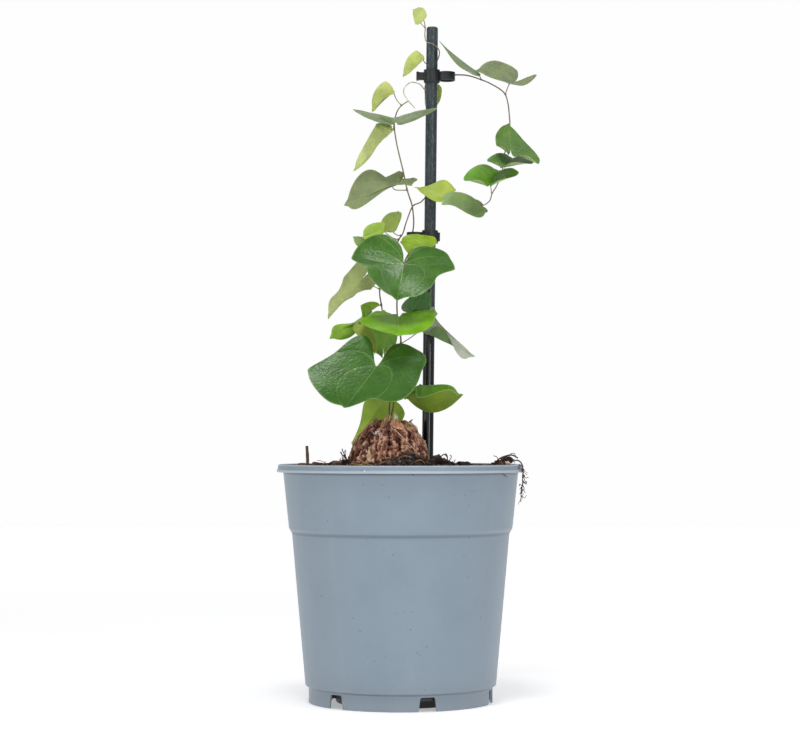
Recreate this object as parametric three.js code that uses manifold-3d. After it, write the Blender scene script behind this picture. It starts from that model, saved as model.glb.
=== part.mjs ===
// Potted elephant's foot yam vine: a corky caudex in a plastic nursery pot, its thin twining
// stems led up a plastic-coated stake by two clips. Millimetres, +Z up, +X to the right and +Y
// away from the viewer. The origin is the middle of the pot's base, on the surface it stands on.

import * as THREE from "three";
import { mergeVertices } from "three/addons/utils/BufferGeometryUtils.js";
import Module from "manifold-3d";

const wasm = await Module();
wasm.setup();

// Driving dimensions
const rimDiameter = 170;
const potHeight = 163;
const wall = 1.5;
const stakeDiameter = 8;
const stakeTop = 466;
const caudexDiameter = 56;
const bladeThickness = 0.7;
const stalkDiameter = 0.9;
const clearance = 0.3;

// Pot heights and radii
const rimRadius = rimDiameter / 2;
const flangeDrop = 6.5;
const flangeWidth = 4.5;
const upperRadius = rimRadius - flangeWidth;
const shoulderHeight = 0.72 * potHeight;
const shoulderStep = 2;
const shoulderRadius = 0.9 * rimRadius;
const footHeight = 10.5;
const footRadius = 62.8;
const heelRadius = footRadius + 2.4;
const channelInner = 44;
const channelOuter = footRadius - wall - 1;
const channelRoof = 6.5;
const potFacets = 44;
const floorThickness = 2;

// Foot notches and drain holes
const notchCount = 6;
const firstNotch = 16.5;
const notchTopWidth = 8.2;
const notchBottomWidth = 13.2;
const drainDiameter = 7;

// Soil
const soilEdgeHeight = potHeight - 5;
const soilHump = 5;
const soilRelief = 1.1;

// Caudex
const caudexCentre = new THREE.Vector3(-9, -8, 0);
const caudexRadius = caudexDiameter / 2;
const caudexFacets = 32;
const caudexBase = 150;
const caudexEquator = 160;
const caudexTop = 193;
const caudexLean = 3;
const crownTop = 195;
const crownRadius = 5;

// Stake: it leans a little to the right
const stakeFoot = new THREE.Vector3(17.1, 14, 42);
const stakeHead = new THREE.Vector3(22, 14, stakeTop);

// Clips: a collar around the stake and a ring for the stems beside it
const collarRadius = stakeDiameter / 2 + clearance + 0.06;
const clipWall = 1;
const collarHeight = 9;
const ringRadius = 6;
const ringHeight = 6;
const ringOffset = collarRadius + ringRadius - 0.1;
const upperClipHeight = 431.5;
const lowerClipHeight = 319.5;

// Stem radii
const mainRadius = 0.65;
const secondRadius = 0.5;
const hangingRadius = 0.45;
const tendrilRadius = 0.4;

// Courses of the stems, each a list of places chosen along it, root first
const courses = {
  main: [
    [-8, -8, 195.4], [-7.5, -9, 204], [-5.5, -8, 223.5], [0, -6, 244.5], [-2, -5, 259.5],
    [-2.5, -4, 274.5], [0, -2, 290], [3, 4, 302], [6.5, 10, 310], [8, 11.5, 320], [9, 11.5, 329],
    [8.5, 9.5, 336.5], [7.5, 7.5, 342], [4.5, 4, 351], [1.5, 0, 364.5], [-2.5, -2, 381],
    [-4.5, -3, 394.5], [-3.5, -3, 401.5], [-2, -2, 405.5], [0.5, 0, 409], [5, 3, 412.5],
  ],
  second: [
    [-6.5, -5, 195.6], [-5, 2, 204.5], [-8, 10, 224], [-7.5, 14, 239.5], [-11.5, 15, 255],
    [-13, 15, 269.5], [-14.5, 12, 283], [-10, 12, 300.5], [-1.5, 10, 317], [1.5, 8, 321.5],
    [3.5, 6, 328], [7, 4.5, 337.5], [9.3, 5, 340.8], [12.5, 9, 342.5], [15.5, 17, 345.5],
    [20.5, 21, 353], [19.5, 21, 367], [19, 21, 388], [18.5, 20.5, 409], [17, 18, 422.5],
    [19, 21, 433], [23.5, 21, 440], [26.5, 16.5, 445.5], [26.5, 11, 449.5], [22.5, 8.3, 453],
    [18, 10, 455], [16.8, 12, 459.5], [17, 12, 465], [16, 11, 470.5], [13.5, 10, 476],
    [12, 10, 479],
  ],
  hanging: [
    [22, 20.5, 430], [26, 23, 432], [31, 23, 433], [37, 20.5, 433.5], [46, 13, 432],
    [54.5, 9, 428.8], [61, 5, 425.5], [68, 2, 421], [72, 1, 417], [74, 2, 411], [75, 4, 403.5],
    [75.5, 6, 395.5], [74.5, 8, 387.5], [72.5, 9, 379.5], [71.5, 9.5, 372.5],
    [70.5, 9, 365.5], [68.5, 8, 359], [66, 5, 353.5], [63, 1, 348.5], [61.5, -4, 343.5],
    [59, -8, 340.5], [56.5, -10, 339],
  ],
  tendril: [
    [16.3, 17.2, 423], [13, 13, 426], [7.5, 9, 426.5], [3.5, 6, 423.5], [2, 5, 419],
    [5, 5, 413.5], [10, 6, 408],
  ],
};

const stems = {
  main: { name: "stem_main", radius: mainRadius, colour: 0x6b5a3e },
  second: { name: "stem_second", radius: secondRadius, colour: 0x8a6f66 },
  hanging: { name: "stem_hanging", radius: hangingRadius, colour: 0x97857a },
  tendril: { name: "stem_tendril", radius: tendrilRadius, colour: 0xcfd3b0 },
};

// Leaves. Each is drawn from where its stalk joins it (joint), the vector from there to the
// apex (tip) and, for its right and left halves, the vectors to places on the edge: at the
// side, halfway round to the apex (front), close to the apex (near) and at the back of the
// lobe (back). gap is how far, in degrees, each lobe stops short of closing the notch, lobe
// how long the back lobes are, and sag how far the midrib bows. stem and at say which stem
// carries the stalk and how many places along its course, and stalk lists its bends.
const leaves = [
  {
    name: "leaf_01", joint: [-16.5, -26, 228], tip: [-21, -14, -28], gap: [35, 5],
    right: { side: [-46, -4, -1], front: [-38, -12, -18], back: [-20, 6, 20] },
    left: { side: [33, 6, -2], front: [14, -8, -24], back: [20, 14, 17] },
    stem: "main", at: 2.6, stalk: [[-11, -17, 231]], colour: 0x3f6b34,
  },
  {
    name: "leaf_02", joint: [2, -22, 297], tip: [-4.5, -12, -24], gap: [5, 12],
    right: { side: [-35.5, 8, 6], front: [-21, -10, -10], back: [-15.5, 10, 22.5] },
    left: { side: [35, 10, 0], front: [21.5, -8, -13], back: [17.5, 8, 13.5] },
    stem: "main", at: 6, stalk: [[2, -12, 294]], colour: 0x44712f,
  },
  {
    name: "leaf_03", joint: [-1, -10, 262.5], tip: [-0.5, -26, -13], gap: [25, 25],
    right: { side: [-27.5, -4, -1.5], front: [-18, -22, -8], back: [-11.5, 11, 1.5] },
    left: { side: [24.5, -4, 4], front: [18, -22, -8.5], back: [9.5, 11, 3.5] },
    stem: "main", at: 3.8, stalk: [], colour: 0x73a326,
  },
  {
    name: "leaf_04", joint: [5, -16, 206.5], tip: [36, -6, 4], lobe: 0.2, sag: [0, 0, -11],
    right: { side: [7, -10, 7], front: [19, -13, 5], near: [30, -11, 8] },
    left: { side: [9, 12, 11], front: [22, 12, 11], near: [31, 4, 10] },
    stem: "main", at: 1.6, stalk: [[-1, -13, 211]], colour: 0x6f9233,
  },
  {
    name: "leaf_05", joint: [-11.5, 18, 206.5], tip: [-22, -2, -32],
    right: { side: [17, 2, -12], front: [3, 1, -24] },
    left: { side: [-14, 5, -3], front: [-17, 2, -21], back: [-3, 4, 11] },
    stem: "second", at: 1.2, stalk: [], colour: 0x7c9a35,
  },
  {
    name: "leaf_06", joint: [-27.5, 6, 288.5], tip: [-23, -10, -27], lobe: 0.9,
    right: { side: [7, 4, -4], front: [-12, -4, -14], back: [2, 8, -6], near: [-20, -6, -21] },
    left: { side: [-12, -2, 2], front: [-20, -6, -12], back: [-1, 4, 16], near: [-23, -8, -18] },
    stem: "second", at: 6, stalk: [[-21, 10, 286]], colour: 0x93a650,
  },
  {
    name: "leaf_07", joint: [-22.5, 3, 266], tip: [-26, -9, -18], lobe: 0.6,
    right: { side: [-5, -2, 5], front: [-16, -7, -8], back: [7, 2, 7], near: [-25, -8, -10] },
    left: { side: [-5, -2, -6], front: [-13, -7, -17], back: [-1, 2, -3], near: [-20, -8, -19] },
    stem: "second", at: 5.2, stalk: [[-19, 9, 270]], colour: 0x7fa83a,
  },
  {
    name: "leaf_08", joint: [-12, 6, 242.5], tip: [0.5, 5, 26.5],
    right: { side: [9.5, -1, 9.5], front: [9, 3, 20], back: [3.5, -3, 1.5] },
    left: { side: [-13, 2, 10], front: [-9, 4, 23], back: [-4, -3, -3.5] },
    stem: "second", at: 3, stalk: [], colour: 0x577c33,
  },
  {
    name: "leaf_09", joint: [16, 2, 280.5], tip: [-7.5, -5, -12.5], lobe: 0.3,
    right: { side: [-11, -7, -5.5], front: [-13, -7, -10] },
    left: { side: [5, 4, -5.5], front: [2, 2, -11.5] },
    stem: "main", at: 5.6, stalk: [[8, 0, 284]], colour: 0x4f7a3a,
  },
  {
    name: "leaf_10", joint: [14, -2, 254], tip: [37, -8, -19], lobe: 0.2,
    right: { side: [12, 6, 11], front: [20, -2, -3], back: [8, 10, 15], near: [31, -6, -13] },
    left: { side: [5, -4, -4], front: [21, -8, -12], near: [29, -10, -22] },
    stem: "main", at: 3, stalk: [[6.5, -4, 248.5]], colour: 0x728066,
  },
  {
    name: "leaf_11", joint: [20, -4, 311], tip: [-20.5, -4, 3], lobe: 0.25,
    right: { side: [2, 2, 7.5], front: [-14.5, -4, 8] },
    left: { side: [0, 0, -10.5], front: [-12.5, -4, -6.5] },
    stem: "main", at: 8.3, stalk: [[15, 2, 313]], colour: 0x96b92f,
  },
  {
    name: "leaf_12", joint: [-13, 0, 323.5], tip: [-13, -6, -6], lobe: 0.3,
    right: { side: [-0.5, 0, 5], front: [-10, -6, 1.5] },
    left: { side: [-1.5, -2, -5], front: [-9, -6, -8] },
    stem: "second", at: 8, stalk: [[-7, 6, 319]], colour: 0xa9c24a,
  },
  {
    name: "leaf_13", joint: [-5.5, 8, 322.5], tip: [4, 4, 14.5], lobe: 0.1,
    right: { side: [-9, 0, 2], front: [-5, 4, 11.5] },
    left: { side: [3, 0, 2], front: [6, 4, 11.5] },
    stem: "second", at: 8.4, stalk: [[-3, 8.5, 320.5]], colour: 0xa3b262,
  },
  {
    name: "leaf_14", joint: [-27.5, -5, 257], tip: [10, -8, -21], lobe: 0.2,
    right: { side: [5.5, 2, 0], front: [11.5, -6, -13.5] },
    left: { side: [-5, -2, -3.5], front: [2, -8, -12.5] },
    stem: "second", at: 4.2, stalk: [[-27.5, 4, 254.5], [-26.5, 12, 256]], colour: 0x8ba443,
  },
  {
    name: "leaf_15", joint: [-6, -8, 353.5], tip: [-33, -6, -15],
    right: { side: [13, 0, 0], front: [-14, -2, -11], back: [5, 2, 3], near: [-27, -6, -19] },
    left: { side: [-5, 4, 4], front: [-22, -2, 7], back: [7, 2, 10], near: [-29, -6, -3] },
    stem: "main", at: 13, stalk: [[-4, -3, 350.5]], colour: 0x80927a,
  },
  {
    name: "leaf_16", joint: [-6.5, -6, 391], tip: [-26, -4, -29], lobe: 0.15,
    right: { side: [-5, 6, -4], front: [-12, 2, -12], near: [-21, -2, -25] },
    left: { side: [-11, 6, 4], front: [-18, 0, -10], back: [-4, 10, 5], near: [-24, -2, -22] },
    stem: "main", at: 15.9, stalk: [], colour: 0xa5b568,
  },
  {
    name: "leaf_17", joint: [-4, -8, 396.5], tip: [-0.5, -26, 0],
    right: { side: [-28.5, -4, 9.5], front: [-16, -20, 4.5], back: [-12.5, 18, 4] },
    left: { side: [28.5, -4, 10], front: [14.5, -20, 5.5], back: [12.5, 16, 4.5] },
    stem: "main", at: 16.1, stalk: [], colour: 0x5f7d58,
  },
  {
    name: "leaf_18", joint: [-5, 2, 419], tip: [-14.5, -8, -14.5], lobe: 0.1,
    right: { side: [-5.5, 0, 7.5], front: [-13, -6, -1.5] },
    left: { side: [-0.5, -4, -2], front: [-7.5, -7.5, -6] },
    stem: "main", at: 19, stalk: [[-3, 1, 413.5]], colour: 0xb4c365,
  },
  {
    name: "leaf_19", joint: [16, 10, 443.5], tip: [-14.5, -8, -14], lobe: 0.1,
    right: { side: [-5.5, -2, 5], front: [-12, -6, -2.5] },
    left: { side: [-3, -2, -4], front: [-9, -6, -10] },
    stem: "second", at: 20.7, stalk: [[16.5, 17, 442]], colour: 0xb8c663,
  },
  {
    name: "leaf_20", joint: [13.5, 8, 468], tip: [-5.5, -4, 8.5], lobe: 0.1,
    right: { side: [-3.5, -2, -1.5], front: [-5, -4, 4] },
    left: { side: [4.5, 0, 5], front: [1.5, -2, 10] },
    stem: "second", at: 27, stalk: [], colour: 0xc2cd82,
  },
  {
    name: "leaf_21", joint: [21, 22, 426], tip: [-0.5, 2, -15], lobe: 0.3,
    right: { side: [8, -2, -3] },
    left: { side: [-4, 2, -6] },
    stem: "second", at: 19.2, stalk: [], colour: 0xa9bb55,
  },
  {
    name: "leaf_22", joint: [54, 0, 430.5], tip: [-28, 8, 24], lobe: 0.1,
    right: { side: [-7, -20, -3], front: [-18, -10, 7] },
    left: { side: [-5, 18, 6], front: [-15, 16, 14] },
    stem: "hanging", at: 5.2, stalk: [], colour: 0x6d8668,
  },
  {
    name: "leaf_23", joint: [74.5, -8, 423], tip: [-23, 4, 9.5], lobe: 0.2,
    right: { side: [9.5, -4, -2.5], front: [-9.5, -8, 1], back: [19, 2, 5] },
    left: { side: [5, 12, 11], front: [-11, 12, 17] },
    stem: "hanging", at: 8, stalk: [], colour: 0x85967c,
  },
  {
    name: "leaf_24", joint: [-22.5, -4, 313.5], tip: [-10.5, -2, 4.5], lobe: 0.3,
    right: { side: [-2.5, -2, -4.5], front: [-8, -2, -1.5] },
    left: { side: [0, 0, 3.5], front: [-5.5, -1, 4.5] },
    stem: "second", at: 7.4, stalk: [[-16, 4, 311]], colour: 0x7f9a4d,
  },
  {
    name: "leaf_25", joint: [74.5, -18, 376.5], tip: [-0.5, 14, 20],
    right: { side: [20, -4, -6.5], front: [10, 8, 8], back: [12, -12, -6] },
    left: { side: [-9.5, 2, 8], front: [-7, 10, 15.5], back: [-5, -6, 1.5] },
    stem: "hanging", at: 12.6, stalk: [[74, -8, 378.5]], colour: 0x4a8236,
  },
  {
    name: "leaf_26", joint: [70.5, -22, 364.5], tip: [6.5, 22, 9],
    right: { side: [20, 4, 4], front: [12.5, 14, 9.5], back: [5.5, -12, 1.5] },
    left: { side: [-11, -2, 5.5], front: [-1, 14, 11.5], back: [-6, -14, 1.5] },
    stem: "hanging", at: 14.4, stalk: [[70.5, -8, 367.5]], colour: 0x4c8038,
  },
  {
    name: "leaf_27", joint: [61, -24, 352], tip: [6.5, 22, 13],
    right: { side: [19, 4, 9.5], front: [13.5, 16, 13.5], back: [5, -14, 2] },
    left: { side: [-18, -4, 5], front: [-6, 12, 15.5], back: [-9, -18, 1.5] },
    stem: "hanging", at: 18, stalk: [[62, -12, 347]], colour: 0x4c8a2e,
  },
  {
    name: "leaf_28", joint: [54, -12, 338.5], tip: [-26, -10, 0.5], lobe: 0.2,
    right: { side: [-3, 6, 6], front: [-19, -4, 9.5], near: [-26, -8, 6.5] },
    left: { side: [3.5, -4, -4], front: [-11, -10, -3.5], near: [-20.5, -10, 0.5] },
    stem: "hanging", at: 21, stalk: [], colour: 0x5c8a4c,
  },
  {
    name: "leaf_29", joint: [34, 0, 349.5], tip: [-25, -2, 3.5], lobe: 0.1,
    right: { side: [3.5, 4, 3], front: [-10.5, 2, 7], near: [-18, 0, 4] },
    left: { side: [0.5, -2, -3.5], front: [-14.5, -4, -4.5], near: [-21.5, -2, 0] },
    stem: "second", at: 14.6, stalk: [[29, 12, 347], [24.5, 19.5, 348]], colour: 0xbcc845,
  },
];

// Litter: a dry stick standing in the soil and a root hanging over the rim
const stickCourse = [[-64.5, 2, 151], [-64, 2, 164], [-64.5, 1.5, 174.5]];
const stickRadius = 1.1;
const rootCourse = [
  [66, -21, 163.6], [73, -24, 165.2], [79, -26, 164.6], [82.2, -27.3, 161], [82, -27.6, 154],
  [81.6, -27.4, 145], [80.4, -27, 137],
];
const rootRadius = 0.6;

function vector(place) {
  return new THREE.Vector3(...place);
}

function bare(geometry) {
  geometry.deleteAttribute("normal");
  geometry.deleteAttribute("uv");
  return mergeVertices(geometry, 1e-4);
}

function solid(geometry) {
  const merged = bare(geometry.clone());
  return new wasm.Manifold(new wasm.Mesh({
    numProp: 3,
    vertProperties: new Float32Array(merged.attributes.position.array),
    triVerts: new Uint32Array(merged.index.array),
  }));
}

function surface(body) {
  const mesh = body.getMesh();
  const geometry = new THREE.BufferGeometry();
  geometry.setAttribute("position", new THREE.BufferAttribute(mesh.vertProperties, 3));
  geometry.setIndex(new THREE.BufferAttribute(mesh.triVerts, 1));
  geometry.computeVertexNormals();
  return geometry;
}

function piece(name, geometry, colour, roughness, metalness = 0) {
  const material = new THREE.MeshStandardMaterial({ color: colour, roughness, metalness });
  const mesh = new THREE.Mesh(geometry, material);
  mesh.name = name;
  return mesh;
}

// A closed profile of [radius, height] pairs turned about +Z
function turned(profile, segments) {
  const points = profile.map(([radius, height]) => new THREE.Vector2(radius, height));
  const geometry = new THREE.LatheGeometry(points, segments);
  geometry.rotateX(Math.PI / 2);
  return geometry;
}

function course(places) {
  return new THREE.CatmullRomCurve3(places.map(vector), false, "catmullrom", 0.5);
}

function tube(curve, radius, steps, sides) {
  const section = new THREE.Shape();
  for (let side = 0; side < sides; side += 1) {
    const angle = (2 * Math.PI * side) / sides;
    const point = [radius * Math.cos(angle), radius * Math.sin(angle)];
    if (side === 0) {
      section.moveTo(...point);
    } else {
      section.lineTo(...point);
    }
  }
  section.closePath();
  return new THREE.ExtrudeGeometry(section, { extrudePath: curve, steps, bevelEnabled: false });
}

// Pot: rim flange, two-step wall, foot ring and a flat floor with a raised drainage channel
function makePot() {
  const outside = [
    [0, 0],
    [channelInner, 0],
    [channelInner + 2, channelRoof],
    [channelOuter, channelRoof],
    [footRadius - wall, channelRoof - 1],
    [footRadius - wall, 0],
    [footRadius, 0],
    [footRadius, footHeight],
    [heelRadius, footHeight + 1.2],
    [shoulderRadius - shoulderStep, shoulderHeight - 2],
    [shoulderRadius, shoulderHeight + 1],
    [upperRadius, potHeight - flangeDrop + 0.4],
    [rimRadius - 0.5, potHeight - flangeDrop],
    [rimRadius, potHeight - 5],
    [rimRadius - 0.6, potHeight - 0.7],
    [rimRadius - 1.6, potHeight],
  ];
  const inside = [
    [upperRadius - wall + 0.3, potHeight],
    [upperRadius - wall - 0.3, potHeight - flangeDrop],
    [shoulderRadius - wall, shoulderHeight],
    [shoulderRadius - shoulderStep - wall, shoulderHeight - 3],
    [heelRadius - wall, footHeight + 2.5],
    [channelOuter, channelRoof + floorThickness],
    [channelInner, channelRoof + floorThickness],
    [channelInner - 2, floorThickness],
    [0, floorThickness],
  ];
  let body = solid(turned([...outside, ...inside], potFacets));
  const notch = new THREE.Shape([
    new THREE.Vector2(-notchBottomWidth / 2, -1),
    new THREE.Vector2(notchBottomWidth / 2, -1),
    new THREE.Vector2(notchTopWidth / 2, footHeight - 1),
    new THREE.Vector2(-notchTopWidth / 2, footHeight - 1),
  ]);
  const drain = new THREE.CylinderGeometry(drainDiameter / 2, drainDiameter / 2, 6, 10);
  drain.rotateX(Math.PI / 2);
  drain.translate((channelInner + channelOuter) / 2 + 1, 0, channelRoof + 1);
  for (let index = 0; index < notchCount; index += 1) {
    const azimuth = THREE.MathUtils.degToRad(firstNotch + (index * 360) / notchCount);
    const cutter = new THREE.ExtrudeGeometry(notch, { depth: 4, bevelEnabled: false });
    cutter.rotateX(Math.PI / 2);
    cutter.translate(0, -footRadius + 2.4, 0);
    cutter.rotateZ(azimuth);
    body = body.subtract(solid(cutter));
    body = body.subtract(solid(drain.clone().rotateZ(azimuth)));
  }
  return piece("pot", surface(body), 0x8fa1b0, 0.5);
}

// Height of the soil's loose surface above its edge
function soilHeight(x, y) {
  const reach = Math.hypot(x - caudexCentre.x - 4, y - caudexCentre.y) / rimRadius;
  const hump = soilHump * Math.exp(-5 * reach * reach);
  const ripple = Math.sin(x * 0.31 + y * 0.17) + Math.sin(y * 0.37 - x * 0.13 + 1.7);
  return hump + 0.5 * soilRelief * ripple;
}

function makeSoil() {
  const inset = wall + clearance;
  const side = [
    [0, floorThickness + clearance],
    [channelInner - 2.4, floorThickness + clearance],
    [channelInner - 0.4, channelRoof + floorThickness + clearance],
    [channelOuter - 0.3, channelRoof + floorThickness + clearance],
    [heelRadius - inset - 0.2, footHeight + 3],
    [shoulderRadius - shoulderStep - inset - 0.1, shoulderHeight - 2.8],
    [shoulderRadius - inset - 0.1, shoulderHeight + 0.4],
    [upperRadius - inset - 0.4, soilEdgeHeight],
  ];
  const rings = [66, 54, 42, 32, 20, 0].map((radius) => [radius, soilEdgeHeight]);
  const geometry = bare(turned([...side, ...rings], potFacets));
  const position = geometry.attributes.position;
  for (let index = 0; index < position.count; index += 1) {
    const [x, y, z] = [position.getX(index), position.getY(index), position.getZ(index)];
    if (z > soilEdgeHeight - 0.1) {
      position.setZ(index, z + soilHeight(x, y));
    }
  }
  let body = solid(geometry);
  const pitRadius = caudexRadius + clearance + 0.15;
  const pit = new THREE.CylinderGeometry(pitRadius, pitRadius, 60, caudexFacets);
  pit.rotateX(Math.PI / 2);
  pit.translate(caudexCentre.x, caudexCentre.y, caudexBase - clearance + 30);
  body = body.subtract(solid(pit));
  body = body.subtract(solid(stakeCylinder(stakeDiameter / 2 + clearance, clearance)));
  const socket = stickCourse.map(([x, y, z], index) => [x, y, index === 0 ? z - clearance : z]);
  body = body.subtract(solid(tube(course(socket), stickRadius + clearance + 0.1, 4, 8)));
  return piece("soil", surface(body), 0x2f2621, 0.95);
}

// Caudex: a leaning dome split into corky plates, on a root that sits in the soil
function makeCaudex() {
  const profile = [[0, caudexBase], [caudexRadius - 2, caudexBase]];
  const belts = 9;
  const soilTop = soilEdgeHeight + soilHump + 2 * soilRelief;
  for (let step = 0; step < belts; step += 1) {
    const rise = Math.sin((step / belts) * (Math.PI / 2));
    const radius = caudexRadius * (1 - rise ** 2.5) ** 0.4;
    profile.push([radius, caudexEquator + (caudexTop - caudexEquator) * rise]);
  }
  profile.push([crownRadius, crownTop], [0, crownTop]);
  const geometry = bare(turned(profile, caudexFacets));
  const position = geometry.attributes.position;
  for (let index = 0; index < position.count; index += 1) {
    const [x, y, z] = [position.getX(index), position.getY(index), position.getZ(index)];
    const rise = (z - soilTop) / (caudexTop - soilTop);
    if (rise > 0) {
      const azimuth = Math.atan2(y, x);
      const plate = Math.cos(9 * azimuth + 0.25 * z) * Math.cos(0.55 * z + azimuth);
      const swell = rise < 0.97 ? 1 + (0.9 * plate) / caudexRadius : 1;
      position.setX(index, x * swell + caudexLean * Math.min(rise, 1));
      position.setY(index, y * swell);
    }
  }
  const mesh = piece("caudex", surface(solid(geometry)), 0x6b4531, 0.9);
  mesh.position.copy(caudexCentre);
  return mesh;
}

const stakeAxis = stakeHead.clone().sub(stakeFoot);
const stakeTurn = new THREE.Quaternion().setFromUnitVectors(
  new THREE.Vector3(0, 0, 1),
  stakeAxis.clone().normalize(),
);

// A cylinder along the stake, reaching below its foot by extra
function stakeCylinder(radius, extra) {
  const length = stakeAxis.length() + extra;
  const geometry = new THREE.CylinderGeometry(radius, radius, length, 24);
  geometry.rotateX(Math.PI / 2);
  geometry.translate(0, 0, length / 2 - extra);
  geometry.applyQuaternion(stakeTurn);
  return geometry.translate(stakeFoot.x, stakeFoot.y, stakeFoot.z);
}

function stakeAxisAt(height) {
  const share = (height - stakeFoot.z) / (stakeHead.z - stakeFoot.z);
  return stakeFoot.clone().lerp(stakeHead, share);
}

function hoop(radius, height, segments) {
  return turned([
    [radius, -height / 2],
    [radius + clipWall, -height / 2],
    [radius + clipWall, height / 2],
    [radius, height / 2],
    [radius, -height / 2],
  ], segments);
}

function block(width, depth, height, x, y) {
  return new THREE.BoxGeometry(width, depth, height).translate(x, y, 0);
}

// Clip: collar, ring on +X and a ribbed latch on -X, before it is turned to its side
function makeClip(name, height, turn) {
  const bore = new THREE.CylinderGeometry(collarRadius, collarRadius, 20, 20);
  bore.rotateX(Math.PI / 2);
  const ringBore = new THREE.CylinderGeometry(ringRadius - clipWall, ringRadius - clipWall, 20, 16);
  ringBore.rotateX(Math.PI / 2).translate(ringOffset, 0, 0);
  let body = solid(hoop(collarRadius, collarHeight, 20));
  body = body.add(solid(hoop(ringRadius - clipWall, ringHeight, 16).translate(ringOffset, 0, 0)));
  body = body.add(solid(block(1.6, 4, ringHeight, collarRadius + clipWall / 2, 0)));
  body = body.add(solid(block(6, 3, ringHeight - 0.6, -collarRadius - 3.4, 0)));
  body = body.add(solid(block(1.8, 4.2, ringHeight, -collarRadius - 5.4, 0)));
  for (const azimuth of [-120, -70, -20, 20, 70, 120]) {
    const rib = block(1.1, 1.4, collarHeight, collarRadius + 0.9, 0);
    body = body.add(solid(rib.rotateZ(THREE.MathUtils.degToRad(azimuth - 90))));
  }
  body = body.subtract(solid(bore)).subtract(solid(ringBore));
  const mesh = piece(name, surface(body), 0x1d2023, 0.45);
  mesh.position.copy(stakeAxisAt(height));
  mesh.quaternion.copy(stakeTurn);
  mesh.rotateZ(turn);
  return mesh;
}

function makeStem(key) {
  const places = courses[key];
  const geometry = tube(course(places), stems[key].radius, 2 * (places.length - 1), 6);
  return piece(stems[key].name, surface(solid(geometry)), stems[key].colour, 0.6);
}

// Edge of a blade in polar form: share runs from -1 (back of the left lobe) through 0 (apex,
// with its small point) to 1 (back of the right lobe)
function edgeReach(share) {
  const angle = share * Math.PI;
  const notch = (1 - Math.abs(share) ** 9) ** 0.55;
  const apex = Math.exp(-((angle / 0.45) ** 2)) - Math.exp(-((angle / 0.09) ** 2));
  return notch * (1 - 0.06 * apex);
}

// One half of a blade as a polynomial of across (0 on the midrib) and along (1 at the apex)
function halfBlade(leaf, edge, gap) {
  const tip = vector(leaf.tip);
  const side = vector(edge.side);
  const sag = vector(leaf.sag ?? [0, 0, 0]);
  const lobe = leaf.lobe ?? 1;
  const plain = (across, along) => {
    const ahead = Math.max(along, 0);
    const point = tip.clone().multiplyScalar(along < 0 ? along * lobe : along);
    return point.addScaledVector(side, across).addScaledVector(sag, 4 * ahead * (1 - ahead));
  };
  const miss = (place, across, along) => (
    place ? vector(place).sub(plain(across, along)) : new THREE.Vector3()
  );
  const diagonal = Math.SQRT1_2;
  const nearAcross = Math.sin(Math.PI / 8);
  const nearAlong = Math.cos(Math.PI / 8);
  const backAngle = ((180 - gap) * 5 * Math.PI) / (6 * 180);
  const backAcross = edgeReach(5 / 6) * Math.sin(backAngle);
  const backAlong = edgeReach(5 / 6) * Math.cos(backAngle);
  const front = miss(edge.front, diagonal, diagonal);
  const near = new THREE.Vector3();
  if (edge.near) {
    const twist = 2 * nearAcross * nearAlong;
    near.copy(miss(edge.near, nearAcross, nearAlong)).addScaledVector(front, -twist);
    near.divideScalar(nearAcross * nearAlong ** 2 - twist * diagonal ** 3);
    front.addScaledVector(near, -(diagonal ** 3));
  }
  const back = miss(edge.back, backAcross, backAlong).divideScalar(backAlong ** 2);
  return (across, along) => {
    const ahead = Math.max(along, 0);
    const behind = Math.max(-along, 0);
    return plain(across, along)
      .addScaledVector(front, 2 * across * ahead)
      .addScaledVector(near, across * ahead * ahead)
      .addScaledVector(back, behind * behind);
  };
}

// The blade's middle surface: a fan of rings about the joint, its faces on the upper side
function bladeSurface(leaf, rings, sectors) {
  const gap = leaf.gap ?? [10, 10];
  const right = halfBlade(leaf, leaf.right, gap[0]);
  const left = halfBlade(leaf, leaf.left, gap[1]);
  const places = [new THREE.Vector3()];
  for (let ring = 1; ring <= rings; ring += 1) {
    for (let sector = 0; sector <= sectors; sector += 1) {
      const share = 0.97 * ((2 * sector) / sectors - 1);
      const stop = share > 0 ? gap[0] : gap[1];
      const angle = share * Math.PI * (1 - stop / 180);
      const reach = (ring / rings) * edgeReach(share);
      const half = share > 0 ? right : left;
      places.push(half(Math.abs(reach * Math.sin(angle)), reach * Math.cos(angle)));
    }
  }
  const at = (ring, sector) => (ring === 0 ? 0 : 1 + (ring - 1) * (sectors + 1) + sector);
  const faces = [];
  for (let sector = 0; sector < sectors; sector += 1) {
    faces.push(0, at(1, sector + 1), at(1, sector));
    for (let ring = 1; ring < rings; ring += 1) {
      const corners = [at(ring, sector), at(ring, sector + 1)];
      const outer = [at(ring + 1, sector), at(ring + 1, sector + 1)];
      faces.push(corners[0], corners[1], outer[1], corners[0], outer[1], outer[0]);
    }
  }
  const border = [0];
  for (let ring = 1; ring < rings; ring += 1) {
    border.push(at(ring, sectors));
  }
  for (let sector = sectors; sector >= 0; sector -= 1) {
    border.push(at(rings, sector));
  }
  for (let ring = rings - 1; ring > 0; ring -= 1) {
    border.push(at(ring, 0));
  }
  return { places, faces, border };
}

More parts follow.
